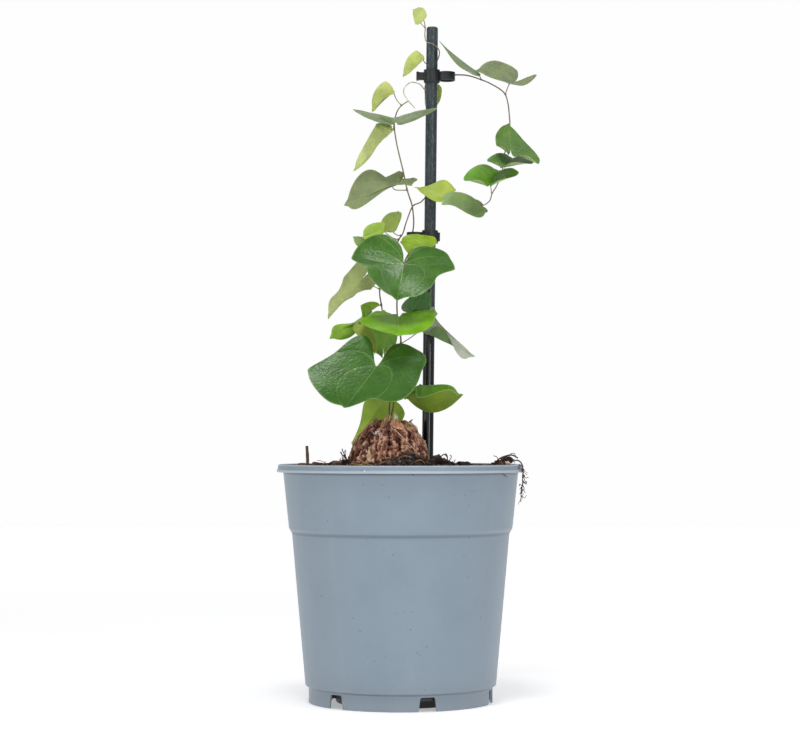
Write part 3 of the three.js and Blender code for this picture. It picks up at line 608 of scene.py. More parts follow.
def rounded(profile, radii, steps=4):
    """A profile with each corner cut to an arc-like quadratic curve of about that radius."""
    profile = np.array(profile, float)
    made = [profile[0]]
    for before, corner, after, radius in zip(profile, profile[1:], profile[2:], radii):
        if radius <= 0:
            made.append(corner)
            continue
        reach_in = min(radius, 0.49 * np.linalg.norm(corner - before))
        reach_out = min(radius, 0.49 * np.linalg.norm(after - corner))
        enter = corner + reach_in * unit(before - corner)
        leave = corner + reach_out * unit(after - corner)
        for share in np.linspace(0.0, 1.0, steps + 1):
            made.append((1 - share) ** 2 * enter + 2 * share * (1 - share) * corner
                        + share ** 2 * leave)
    made.append(profile[-1])
    return np.array(made)


def box_points(low, high, ease, count=7):
    """A box whose corners and edges are eased: each point of a cube grid is drawn in to a
    smaller box and pushed back out by the ease along the direction it left."""
    steps = np.sin(np.linspace(-np.pi / 2, np.pi / 2, count))
    one, two = np.meshgrid(steps, steps, indexing="ij")
    low, high = np.array(low, float), np.array(high, float)
    half = (high - low) / 2
    faces, points = [], []
    for axis in range(3):
        for sign in (-1.0, 1.0):
            cube = np.empty((count, count, 3))
            cube[..., axis] = sign
            cube[..., (axis + 1) % 3] = two * sign
            cube[..., (axis + 2) % 3] = one
            cube = cube * half
            inner = np.clip(cube, ease - half, half - ease)
            faces.append(grid_faces(count, count, start=count * count * len(points)))
            points.append((inner + ease * unit(cube - inner) + (low + high) / 2).reshape(-1, 3))
    return weld(np.vstack(points), np.vstack(faces))[:2]


# Materials

class Value:
    """One output of a node. Arithmetic on it adds Math nodes to the same finish."""

    def __init__(self, finish, socket):
        self.finish = finish
        self.socket = socket

    def __add__(self, other):
        return self.finish.math("ADD", self, other)

    def __sub__(self, other):
        return self.finish.math("SUBTRACT", self, other)

    def __rsub__(self, other):
        return self.finish.math("SUBTRACT", other, self)

    def __mul__(self, other):
        return self.finish.math("MULTIPLY", self, other)

    def __truediv__(self, other):
        return self.finish.math("DIVIDE", self, other)

    def __pow__(self, other):
        return self.finish.math("POWER", self, other)

    def __abs__(self):
        return self.finish.math("ABSOLUTE", self)

    __radd__ = __add__
    __rmul__ = __mul__


class Finish:
    """A material in the making. node() adds any node; the rest name the common ones."""

    def __init__(self, name):
        self.material = bpy.data.materials.new(PREFIX + name)
        self.material.use_nodes = True
        self.tree = self.material.node_tree
        self.tree.nodes.clear()

    def node(self, kind, settings=None, inputs=None, output=0):
        """Adds a node, sets its settings and then the values or links of its sockets."""
        node = self.tree.nodes.new(kind)
        for key, value in (settings or {}).items():
            if key == "stops":
                ramp = node.color_ramp.elements
                ramp[0].position, ramp[0].color = value[0]
                ramp[1].position, ramp[1].color = value[-1]
                for position, colour in value[1:-1]:
                    ramp.new(position).color = colour
            else:
                setattr(node, key, value)
        for key, value in (inputs or {}).items():
            if isinstance(value, Value):
                self.tree.links.new(value.socket, node.inputs[key])
            else:
                node.inputs[key].default_value = value
        return Value(self, node.outputs[output])

    def math(self, operation, *operands):
        return self.node("ShaderNodeMath", {"operation": operation}, dict(enumerate(operands)))

    def step(self, value, low, high):
        """0 below low, 1 above high and a smooth rise between."""
        settings = {"interpolation_type": "SMOOTHSTEP"}
        return self.node("ShaderNodeMapRange", settings, {0: value, 1: low, 2: high})

    def fall(self, value, low, high):
        """1 below low, 0 above high and a smooth fall between."""
        return 1.0 - self.step(value, low, high)

    def band(self, value, low, full, end, high):
        """1 between full and end, and 0 outside low and high."""
        return self.step(value, low, full) * self.fall(value, end, high)

    def place(self, scale=(1.0, 1.0, 1.0)):
        """Object coordinates, stretched."""
        where = self.node("ShaderNodeTexCoord", output=3)
        return self.node("ShaderNodeMapping", {}, {"Vector": where, "Scale": scale})

    def split(self, vector):
        """The three numbers of a vector or colour."""
        first = self.node("ShaderNodeSeparateXYZ", {}, {0: vector})
        outputs = first.socket.node.outputs
        return [Value(self, outputs[index]) for index in range(3)]

    def value(self, name, output):
        """A point value of the mesh: 0 its colour, 1 its vector, 3 its fourth number."""
        return self.node("ShaderNodeAttribute", {"attribute_name": name}, output=output)

    def noise(self, vector, scale, detail=4.0, roughness=0.55):
        inputs = {"Vector": vector, "Scale": scale, "Detail": detail, "Roughness": roughness}
        return self.node("ShaderNodeTexNoise", {}, inputs)

    def cells(self, vector, scale, feature="F1"):
        settings = {"feature": feature}
        return self.node("ShaderNodeTexVoronoi", settings, {"Vector": vector, "Scale": scale})

    def ramp(self, value, *stops):
        return self.node("ShaderNodeValToRGB", {"stops": stops}, {0: value})

    def blend(self, share, first, second, kind="MIX"):
        """Mixes two colours."""
        settings = {"data_type": "RGBA", "blend_type": kind}
        return self.node("ShaderNodeMix", settings, {0: share, 6: first, 7: second}, output=2)

    def bump(self, height, distance, strength=1.0, below=None):
        """A bumped normal; height is in units of the distance, in millimetres."""
        inputs = {"Height": height, "Distance": distance * MM, "Strength": strength}
        if below is not None:
            inputs["Normal"] = below
        return self.node("ShaderNodeBump", {}, inputs)

    def surface(self, **inputs):
        """The shader and its output. Names with a space are written with an underscore."""
        named = {key.replace("_", " "): value for key, value in inputs.items()}
        shader = self.node("ShaderNodeBsdfPrincipled", {}, named)
        output = self.tree.nodes.new("ShaderNodeOutputMaterial")
        self.tree.links.new(shader.socket, output.inputs["Surface"])


def make_leaf_finish(name, look):
    """Leaf skin. The blade value holds how far a point lies across and along the leaf, its
    ring from stalk to edge and the leaf's size; the tone value holds its colour, with 1 on the
    upper face.
    Besides the midrib, the veins are spirals round the joint, r = (start - angle) / width:
    one arches to the apex and two run out into the side and the back lobe. The distance to
    one is its residue over its slope. Cells drawn on the leaf give the fine net."""
    made = Finish(name)
    blade = made.value("blade", 1)
    across, along, ring = made.split(blade)
    upper = made.value("tone", 3)
    colour = made.value("tone", 0)
    side = abs(across)
    reach = (across * across + along * along) ** 0.5
    angle = made.math("ARCTAN2", side, along)
    nearest = made.math("MAXIMUM", side, 0.0 - along)
    for start, width in VEIN_SPIRALS:
        slope = math.radians(width) * reach
        residue = abs(reach - (math.radians(start) - angle) / math.radians(width))
        nearest = made.math("MINIMUM", nearest, residue * slope / (slope * slope + 1.0) ** 0.5)
    thin = 0.0045 + 0.0075 * made.math("MAXIMUM", 1.0 - ring, 0.0)
    vein = made.fall(nearest / thin, 0.4, 1.7)
    furrow = made.fall(nearest / thin, 0.0, 5.0)
    spread = made.node("ShaderNodeVectorMath", {"operation": "SCALE"},
                       {0: blade, "Scale": made.value("blade", 3)})
    flat = made.node("ShaderNodeMapping", {}, {"Vector": spread, "Scale": (11.0, 9.0, 0.0)})
    warp = made.noise(flat, 0.8, 3.0)
    net = made.cells(made.blend(0.12, flat, warp), 1.0, "DISTANCE_TO_EDGE")
    net_line = made.fall(net, 0.0, 0.1)
    pucker = made.step(net, 0.0, 0.5)
    patch = made.noise(made.place(), 90.0, 5.0)
    fine = made.noise(made.place(), 520.0, 1.0)
    shade = made.blend(made.step(patch, 0.3, 0.72), (0.78, 0.82, 0.8, 1.0), (1.16, 1.12, 1.0, 1.0))
    body = made.blend(1.0, colour, shade, "MULTIPLY")
    pale = made.blend(0.45, body, look.vein_colour)
    marked = made.blend(vein * (0.7 - 0.24 * upper), body, pale)
    marked = made.blend(net_line * (0.14 - 0.09 * upper), marked, pale)
    marked = made.blend(made.step(ring, 0.97, 0.995) * 0.8, marked, pale)
    pebbles = made.math("MINIMUM", made.value("blade", 3), 1.0) * upper * fine
    rise = pucker * (0.35 * upper - 0.15) + furrow * (0.2 - 0.36 * upper) + 0.6 * pebbles
    base = look.under_roughness + (look.upper_roughness - look.under_roughness) * upper
    made.surface(
        Base_Color=marked,
        Roughness=base + 0.2 * (patch - 0.5) - 0.06 * vein,
        Normal=made.bump(rise, 0.34),
        Subsurface_Weight=look.glow,
        Subsurface_Radius=(0.7, 1.0, 0.3),
        Subsurface_Scale=0.001,
        Specular_IOR_Level=0.32,
    )


def make_bark_finish(name, roughness=0.7, size=700.0):
    """Thin bark: the stem's own tone in light and dark streaks along Z, with a fine grain."""
    made = Finish(name)
    streak = made.noise(made.place((1.0, 1.0, 0.12)), size, 4.0)
    grain = made.noise(made.place(), size * 2.2, 3.0)
    shade = made.blend(made.step(streak, 0.3, 0.68), (0.6, 0.58, 0.55, 1.0), (1.25, 1.22, 1.15, 1.0))
    body = made.blend(1.0, made.value("tone", 0), shade, "MULTIPLY")
    made.surface(
        Base_Color=body,
        Roughness=roughness + 0.2 * (grain - 0.5),
        Normal=made.bump(streak + 0.4 * grain, 0.12),
    )


def make_pot_finish(look):
    """Blue-grey moulded plastic: faint mottling and flow streaks, dark specks, pale scuffs, dust low
    down, painted shade lines under the rim, the shoulder and the step over the foot, painted highlight
    lines on the rim's edges, and painted near-black shade under the pot inside the foot."""
    made = Finish("pot_plastic")
    where = made.place()
    across, depth, height = made.split(where)
    mottle = made.noise(where, 26.0, 5.0)
    streak = made.noise(made.place((1.0, 1.0, 0.06)), 60.0, 4.0)
    grain = made.noise(where, 1500.0, 2.0)
    body = made.blend(made.step(mottle, 0.2, 0.62), look.shade_colour, look.pot_colour)
    body = made.blend(0.12 * made.step(streak, 0.45, 0.8), body, look.dust_colour)
    specks = made.fall(made.cells(where, 210.0), 0.05, 0.13)
    sparse = made.step(made.noise(where, 45.0, 2.0), 0.5, 0.6)
    body = made.blend(0.75 * specks * sparse, body, srgb(70, 78, 88))
    scratch_cells = made.cells(made.place((1.0, 1.0, 0.35)), 34.0)
    scuff = made.fall(scratch_cells, 0.03, 0.09) * made.step(mottle, 0.56, 0.62)
    body = made.blend(0.8 * scuff, body, srgb(235, 240, 244))
    low = made.fall(height, 0.0, 0.03)
    body = made.blend(0.3 * low * streak, body, srgb(120, 112, 104))
    # Painted shade: dark blue-grey lines under the rim, under the shoulder and at the step over the foot
    painted_shade = 0.0
    for *heights, strength in PAINTED_SHADE_LINES:
        painted_shade = made.math("MAXIMUM", painted_shade, strength * made.band(height, *heights))
    body = made.blend(painted_shade, body, srgb(62, 70, 78))
    reach = (across * across + depth * depth) ** 0.5
    # Painted highlight: pale lines along the top and the lower edge of the rim's outer face
    painted_rim_highlight = made.step(height, 0.1608, 0.1616) + made.band(height, 0.1566, 0.1570, 0.1580, 0.1588)
    body = made.blend(0.5 * painted_rim_highlight * made.step(reach, 0.083, 0.084), body, srgb(205, 216, 224))
    away = ((across - SCRAPE[0]) ** 2.0 + (height - SCRAPE[1]) ** 2.0) ** 0.5
    scrape = made.fall(away + 0.003 * (mottle - 0.5), 0.0002, 0.0009)
    scrape = scrape * made.step(0.0 - depth, 0.07, 0.075)
    body = made.blend(0.85 * scrape, body, srgb(246, 248, 250))
    # Painted shade: the underside inside the foot, seen through the notches and drain holes, made
    # near-black
    painted_underside_shade = made.fall(reach, 0.0608, 0.0616) * made.fall(height, 0.009, 0.0098)
    body = made.blend(0.96 * painted_underside_shade, body, srgb(14, 15, 17))
    rise = 0.25 * grain + 0.5 * streak + 0.5 * mottle
    made.surface(
        Base_Color=body,
        Roughness=look.roughness + 0.14 * (mottle - 0.5) + 0.2 * scuff,
        Normal=made.bump(rise, 0.12),
        Specular_IOR_Level=0.5,
    )


def make_cork_finish(look):
    """Cork: the cork value holds the relief, the tone of each plate, the share of soil that clings
    together with a painted shadow from a leaf above, and how weathered it is. Cracks are dark, partly
    painted shade, ridges tan with a painted highlight on the palest crests, and the crown greyer."""
    made = Finish("caudex_cork")
    relief, plate, soil_and_shadow = made.split(made.value("cork", 0))
    grey = made.value("cork", 3)
    where = made.place()
    fibre = made.noise(made.place((1.0, 1.0, 0.5)), 460.0, 5.0, 0.65)
    grain = made.noise(where, 1300.0, 4.0, 0.6)
    level = relief * 0.98 - 0.04 + 0.9 * (fibre - 0.5) + 0.16 * (plate - 0.5)
    # Colour from the relief: the near-black lowest stop in the cracks is partly painted shade, and the
    # palest top stop on the crests is a painted highlight
    body = made.ramp(
        level,
        (0.0, srgb(36, 20, 18)),
        (0.2, look.crack_colour),
        (0.44, look.plate_colour),
        (0.68, look.ridge_colour),
        (0.95, srgb(236, 208, 178)),
    )
    tint = made.blend(plate, (1.05, 0.9, 0.86, 1.0), (0.98, 1.02, 0.96, 1.0))
    body = made.blend(1.0, body, tint, "MULTIPLY")
    body = made.blend(made.step(grey * (0.45 + 1.1 * fibre), 0.3, 0.9), body, srgb(208, 192, 182))
    # Dark brown for the soil that clings low down and for the painted shadow on the upper left
    body = made.blend(made.step(soil_and_shadow + 1.2 * (fibre - 0.5), 0.45, 0.8), body, srgb(52, 42, 36))
    made.surface(
        Base_Color=body,
        Roughness=0.82 + 0.2 * (grain - 0.5),
        Normal=made.bump(fibre + 0.4 * grain, 0.6),
        Specular_IOR_Level=0.3,
    )


def make_soil_finish():
    """Moist peat: near-black and brown grains with a few tan fibres. The grain value holds a
    random tone for each crumb."""
    made = Finish("soil")
    where = made.place()
    tone = made.value("grain", 0)
    clods = made.noise(where, 260.0, 6.0, 0.65)
    fine = made.noise(where, 1500.0, 4.0, 0.6)
    body = made.ramp(
        clods * 0.8 + 0.3 * (fine - 0.5),
        (0.25, srgb(42, 41, 42)), (0.5, srgb(90, 82, 78)), (0.75, srgb(160, 144, 126)),
    )
    body = made.blend(1.0, body, made.blend(0.85, (1.0, 1.0, 1.0, 1.0), tone), "MULTIPLY")
    made.surface(
        Base_Color=body,
        Roughness=0.9 + 0.2 * (fine - 0.5),
        Normal=made.bump(clods + 0.6 * fine, 1.2),
        Specular_IOR_Level=0.25,
    )


def make_stake_finish(look):
    """Coating with long pale scratches low down, dulled by age to a teal grey above."""
    made = Finish("stake_coating")
    where = made.place()
    height = made.split(where)[2]
    aged = made.step(height, 0.2, 0.34)
    streak = made.noise(made.place((1.0, 1.0, 0.03)), 420.0, 3.0)
    patch = made.noise(made.place((1.0, 1.0, 0.3)), 120.0, 4.0)
    body = made.blend(aged * (0.55 + 0.6 * patch), look.low_colour, look.high_colour)
    body = made.blend(made.step(streak, 0.6, 0.7) * (0.12 + 0.3 * aged), body, srgb(112, 124, 128))
    speck = made.noise(made.place((1.0, 1.0, 0.4)), 800.0, 2.0)
    body = made.blend(made.step(speck, 0.5, 0.72) * 0.4 * aged, body, srgb(112, 126, 130))
    made.surface(
        Base_Color=body,
        Roughness=0.05 + 0.36 * aged + 0.12 * patch,
        Normal=made.bump(streak + patch, 0.06),
        Coat_Weight=0.25,
        Coat_Roughness=0.12,
    )


def make_plain_finish(name, colour, second, roughness, size=240.0, height=0.15):
    """A body of two close tones with a fine grain."""
    made = Finish(name)
    where = made.place()
    patch = made.noise(where, size, 4.0)
    grain = made.noise(where, size * 6.0, 3.0)
    made.surface(
        Base_Color=made.blend(made.step(patch, 0.3, 0.7), colour, second),
        Roughness=roughness + 0.15 * (grain - 0.5),
        Normal=made.bump(patch + 0.5 * grain, height),
    )


def make_paper_finish():
    """Dry scales and straw: tan with darker veins along them."""
    made = Finish("dry_scale")
    where = made.place()
    streak = made.noise(made.place((1.0, 1.0, 0.3)), 900.0, 4.0)
    tone = made.value("grain", 0)
    body = made.ramp(streak, (0.3, srgb(120, 82, 54)), (0.5, srgb(186, 146, 104)),
                     (0.72, srgb(224, 196, 156)))
    body = made.blend(1.0, body, tone, "MULTIPLY")
    made.surface(
        Base_Color=body,
        Roughness=0.6 + 0.2 * (made.noise(where, 600.0) - 0.5),
        Normal=made.bump(streak, 0.2),
    )


# Shapes

def make_pot_body():
    """The pot's wall as a turned profile, r and z in the tables, with foot notches and drain
    holes cut through."""
    shell = (
        (0, 0), (44, 0), (46, 6.5), (60.3, 6.5), (61.3, 5.5), (61.3, 0), (FOOT_RADIUS, 0),
        (FOOT_RADIUS, FOOT_HEIGHT), (HEEL_RADIUS, 11.7), (LOWER_RADIUS, 115.2),
        (SHOULDER_RADIUS, 118.2), (UPPER_RADIUS, 156.7), (84.7, 156.7), (RIM_RADIUS, 157.1),
        (84.9, 158.2), (84.2, 159), (84.1, 160.8), (83.9, 161.6), (83.0, POT_HEIGHT),
        (79.3, POT_HEIGHT), (78.7, 156.5), (75, 117.4),
        (73, 114.4), (63.7, 13), (60.3, 8.5), (44, 8.5), (42, 2), (0, 2),
    )
    easing = (0.8, 1, 0.8, 0.4, 0.3, 0.5, 0.6, 0.8, 1, 0.9, 1.2, 0.4, 0.3, 0.4, 0.5, 0.5,
              0.5, 0.4, 0.6, 0.6, 1.5, 1.5, 2, 1, 1, 1, 0)
    pot = Parts()
    pot.add(*turned(rounded(shell, easing), POT_SEGMENTS))
    piece = pot.piece("pot_body", ["pot_plastic"], "pot_plastic", "pot")
    cutters = Parts()
    notch = ((-6.4, -1), (6.4, -1), (5.3, 7.6), (5.0, 8.9), (4.3, 9.4), (-4.3, 9.4), (-5.0, 8.9),
             (-5.3, 7.6), (-6.4, -1))
    hole, _ = turned(((0, 4), (3.5, 4), (3.5, 11), (0, 11)), 24)
    for azimuth in NOTCH_AZIMUTHS:
        turn = rotation(2, azimuth)
        across, height = np.array(notch).T
        rows = [np.stack((across, np.full(9, depth), height), axis=-1) for depth in (-66.0, -58.5)]
        ends = [np.broadcast_to(row.mean(axis=0), row.shape) for row in rows]
        block = np.stack((ends[0], *rows, ends[1]))
        cutters.add(block @ turn.T, grid_faces(4, 9)[:, ::-1])
        cutters.add((hole + (53.15, 0, 0)) @ turn.T, grid_faces(4, 24, closed=True))
    cutter = cutters.piece("pot_cutter", ["pot_plastic"], "pot_plastic")
    cut = piece.modifiers.new("cut", "BOOLEAN")
    cut.operation = "DIFFERENCE"
    cut.solver = "EXACT"
    cut.object = cutter
    made = piece.evaluated_get(bpy.context.evaluated_depsgraph_get())
    whole, piece.data = piece.data, bpy.data.meshes.new_from_object(made)
    piece.modifiers.clear()
    piece.data.set_sharp_from_angle(angle=SHARP_ANGLE)
    cutter_mesh = cutter.data
    bpy.data.objects.remove(cutter)
    bpy.data.meshes.remove(cutter_mesh)
    bpy.data.meshes.remove(whole)


# Heaps of loose soil: x, y, spread and height
HEAPS = (
    (8, -36, 9.5, 6.0), (-5, -42, 15, 2.6), (28, -14, 8, 5.0), (-38, -16, 7, 3.0),
    (66, -24, 10, 2.4), (-30, -40, 9, 1.6), (-60, 20, 20, 1.5), (30, 45, 24, 1.6),
)


def soil_height(x, y):
    """z = edge + 5 exp(-5 s^2) + heaps + lumps, s the distance from the caudex over the rim's
    radius; it falls a little towards the wall."""
    reach = np.hypot(x - CAUDEX_CENTRE[0] - 4, y - CAUDEX_CENTRE[1]) / RIM_RADIUS
    height = SOIL_EDGE + 5.0 * np.exp(-5.0 * reach * reach)
    for middle_x, middle_y, spread, rise in HEAPS:
        height = height + rise * np.exp(-((x - middle_x) ** 2 + (y - middle_y) ** 2) / spread ** 2)
    places = np.stack((x, y, np.zeros_like(x)), axis=-1)
    lumps = 1.3 * noise(places, 13.0, 11, 2) + 0.9 * noise(places, 4.2, 12, 3)
    return height + lumps * smoothstep(78.0, 70.0, np.hypot(x, y) - 1.0)


def make_soil_body():
    """Soil to the wall: a polar grid of soil_height, its side and its underside."""
    angle = np.linspace(0, 2 * np.pi, SOIL_SECTORS, endpoint=False)[None, :]
    reach = (SOIL_RADIUS * np.linspace(1, 0, SOIL_RINGS) ** 0.8)[:, None]
    x, y = reach * np.cos(angle), reach * np.sin(angle)
    top = np.stack((x, y, soil_height(x, y)), axis=-1)
    side = ((0, 2.3), (41.6, 2.3), (43.6, 8.8), (60, 8.8), (63.2, 13.5), (72.6, 114.6),
            (74.6, 117.8), (78.2, 154))
    wall, _ = turned(side, SOIL_SECTORS)
    points = np.concatenate((wall, top))
    soil = Parts()
    soil.add(points, grid_faces(len(points), SOIL_SECTORS, closed=True), grain=(1, 1, 1, 1))
    soil.piece("soil_bed", ["soil"], "soil", "soil")


def random_turns(count, random):
    """Random rotations from unit quaternions."""
    w, x, y, z = unit(random.normal(size=(count, 4))).T
    rows = (
        (1 - 2 * (y * y + z * z), 2 * (x * y - z * w), 2 * (x * z + y * w)),
        (2 * (x * y + z * w), 1 - 2 * (x * x + z * z), 2 * (y * z - x * w)),
        (2 * (x * z - y * w), 2 * (y * z + x * w), 1 - 2 * (x * x + y * y)),
    )
    return np.moveaxis(np.array(rows), 2, 0)


def free_ground(count, random):
    """Random places on the soil that keep clear of the caudex and the stake."""
    reach = LITTER_REACH * np.sqrt(random.uniform(0, 1, 4 * count))
    angle = random.uniform(0, 2 * np.pi, 4 * count)
    x, y = reach * np.cos(angle), reach * np.sin(angle)
    clear = np.hypot(x - CAUDEX_CENTRE[0], y - CAUDEX_CENTRE[1]) > CAUDEX_CLEAR
    clear &= np.hypot(x - STAKE_AT_SOIL[0], y - STAKE_AT_SOIL[1]) > STAKE_CLEAR
    x, y = x[clear][:count], y[clear][:count]
    return np.stack((x, y, soil_height(x, y)), axis=-1)


def make_crumbs(plant):
    """Loose crumbs: cubes with uneven corners, squashed, turned at random."""
    random = np.random.default_rng(plant.seed)
    places = free_ground(plant.crumbs, random)
    heaped = np.array(HEAPS[:4], float)
    chosen = heaped[random.integers(0, 4, plant.crumbs // 4)]
    spot = chosen[:, :2] + random.normal(0, 0.55, (len(chosen), 2)) * chosen[:, 2:3]
    clear = np.hypot(*(spot - CAUDEX_CENTRE).T) > CAUDEX_CLEAR - 0.5
    spot = spot[clear & (np.hypot(*spot.T) < LITTER_REACH - 1)]
    places = np.vstack((places, np.column_stack((*spot.T, soil_height(*spot.T)))))
    count = len(places)
    ball, faces = box_points((-1, -1, -1), (1, 1, 1), 1.0, 2)
    size = 0.4 + 1.3 * random.uniform(0, 1, count) ** 3
    shape = ball[None] * random.uniform(0.5, 1.35, (count, len(ball), 1))
    shape = shape * random.uniform(0.55, 1.2, (count, 1, 3)) * size[:, None, None]
    shape = np.einsum("nij,nkj->nki", random_turns(count, random), shape)
    places[:, 2] += 0.35 * size
    tone = random.uniform(0.18, 1.5, (count, 1)) * (1.0, 0.98, 0.97)
    kind = random.uniform(0, 1, count)
    brown, straw = kind > 0.86, kind > 0.955
    tone[brown] *= (2.4, 1.7, 1.5)
    tone[straw] = (4.4, 3.7, 3.0)
    grain = np.column_stack((tone, np.ones(count))).repeat(len(ball), axis=0)
    all_faces = (faces[None] + len(ball) * np.arange(count)[:, None, None]).reshape(-1, 4)
    crumbs = Parts()
    crumbs.add(shape + places[:, None], all_faces, smooth=False, grain=grain)
    crumbs.piece("soil_crumbs", ["soil"], "soil")


def wander(start, heading, length, bend, seed, steps=9):
    """A path that sets off along a heading and strays by smooth noise."""
    share = np.linspace(0, 1, steps)[:, None]
    place = np.concatenate((share * 2.0 + seed, share * 0.3, np.zeros_like(share)), axis=-1)
    stray = stray_of(place, 1.0, 40, 1)
    return np.array(start) + share * length * unit(np.array(heading, float)) + bend * share * stray


def make_fibres(plant):
    """Rootlets and straw in the soil: thin tubes that wander over it."""
    random = np.random.default_rng(plant.seed + 1)
    fibres = Parts()
    places = free_ground(plant.fibres, random)
    for index, place in enumerate(places):
        turn = random.uniform(0, 2 * np.pi)
        heading = (math.cos(turn), math.sin(turn), random.normal(0.02, 0.2))
        length = random.uniform(4, 14)
        path = wander(place + (0, 0, 0.6), heading, length, 2.5, float(index))
        pale = random.uniform() > 0.5
        tone = (4.2, 3.5, 2.6, 1) if pale else (1.5, 0.95, 0.75, 1)
        fibres.add(*swept(path, random.uniform(0.12, 0.28), 5), grain=tone)
    for index in range(SPRIG_THREADS):
        heading = (random.normal(0, 0.5), random.normal(-0.1, 0.35), 1)
        start = SPRIG_FOOT + random.normal(0, 1.4, 3) * (1, 1, 0.3)
        path = wander(start, heading, random.uniform(4, 10), 3.5, 200.0 + index)
        fibres.add(*swept(path, random.uniform(0.22, 0.36), 5), grain=(1.1, 0.62, 0.6, 1))
    for places, radius in CURLED_ROOTS:
        path = curve_points(places, 8)
        fibres.add(*swept(path, radius, 7), grain=(1.2, 0.75, 0.65, 1))
    fibres.piece("soil_fibres", ["soil"], "litter")


# Roots that stand clear of the soil, right of the stake and over it
CURLED_ROOTS = (
    (((26, -20, 163), (27, -21, 167), (29.5, -22, 168.8), (31.6, -21, 166.5), (30.5, -20, 163.5)), 0.4),
    (((29, -22, 163), (31.5, -24, 166), (31, -24, 168.8), (29.8, -24, 169.4)), 0.3),
    (((30, -21, 163.5), (33, -22, 165), (34.2, -22, 167.4), (33.4, -22, 168.6)), 0.3),
    (((-50, -24, 161), (-45, -27, 164.5), (-41, -26, 162)), 0.35),
    (((63, -25, 162), (66, -27, 165.6), (70, -27, 167.6), (75, -27, 168.4), (79, -28, 166.4)), 0.5),
    (((68, -25, 164), (71, -26, 167.4), (74, -27, 166), (77, -27, 163.5)), 0.34),
    (((72, -24, 165), (74, -25, 169), (76.5, -26, 169.6), (77.4, -26, 168)), 0.26),
    (((66, -24, 164), (65, -25, 167), (62.6, -25, 168)), 0.26),
)

# Bark chips and clods: centre, size, turn about Z, tilt in degrees and finish number
CHIPS = (
    ((-43, -28, 163.0), (6.5, 4, 2.6), -20, 18, 0), ((24.5, -21, 165.2), (6.5, 5.5, 6), 30, 20, 2),
    ((66, -24, 163.2), (4.6, 4, 3.6), 8, 6, 2), ((70, -23, 164.6), (5, 4.4, 4.4), 40, 16, 2),
    ((73.6, -24, 165.2), (4.2, 3.6, 3.4), 70, 20, 2), ((63, -25, 162.2), (3.6, 3, 2.6), 15, 10, 2),
    ((68, -26, 162.6), (3.6, 3, 2.6), 55, 10, 0), ((72, -26, 163), (3, 2.6, 2.2), 15, 30, 1),
    ((21.5, -24, 163.8), (5, 4.5, 4), -25, 10, 2), ((30, -20, 163), (4.6, 4.4, 3.6), 60, 15, 2),
    ((-30, -40, 162.6), (4, 3, 2.4), 50, -14, 0), ((-58, 22, 161.5), (9, 5, 3), 70, 10, 0),
    ((44, 36, 161.2), (8, 6, 4), 20, 8, 2), ((2, 58, 160.8), (7, 4, 2.6), -35, 14, 1),
    ((12, -43, 166.3), (5, 4, 3.6), 10, 25, 2), ((5, -41, 167.2), (4.2, 4, 3.4), 70, 25, 2),
    ((-66, -22, 161.6), (6, 4, 2.4), 40, 8, 0), ((-8, -58, 162.4), (6, 5, 4), 15, 8, 2),
)


def make_chips():
    """Chips and clods: boxes with eased edges, roughened by noise, then turned and tilted."""
    chips = Parts()
    for index, (centre, size, turn, tilt, finish) in enumerate(CHIPS):
        half = np.array(size) / 2
        points, faces = box_points(-half, half, 0.42 * half.min(), 11)
        rough = 0.16 * half.min() if finish < 2 else 0.4 * half.min()
        points = points + rough * stray_of(points + 37.0 * index, 2.6, 60, 3)
        placing = rotation(2, math.radians(turn)) @ rotation(0, math.radians(tilt))
        points = points @ placing.T + centre
        chips.add(points, faces, finish=finish, grain=(1.1, 0.78, 0.72, 1))
    chips.piece("bark_chips", ["chip_dark", "chip_pale", "soil"], "litter")


# Caudex profile: distance from its axis and height, from the soil up
CAUDEX_PROFILE = (
    (27.0, 152), (27.7, 158), (27.5, 163), (26.4, 169), (24.5, 174.5), (21.7, 179.5),
    (19.2, 183.5), (17.2, 186.6), (13.4, 189.6), (9.0, 191.4), (4.5, 192.4), (0.4, 192.8),
)


# Long cracks in the cork: azimuth in degrees, top and bottom
FISSURES = (
    (-92, 191, 166), (-127, 187, 160), (-73, 186, 164), (-108, 178, 158), (-50, 190, 162),
    (-20, 184, 160), (18, 190, 158), (60, 186, 162), (95, 190, 160), (130, 184, 158),
    (165, 190, 162), (-160, 186, 158), (-143, 176, 158), (-36, 176, 158),
)


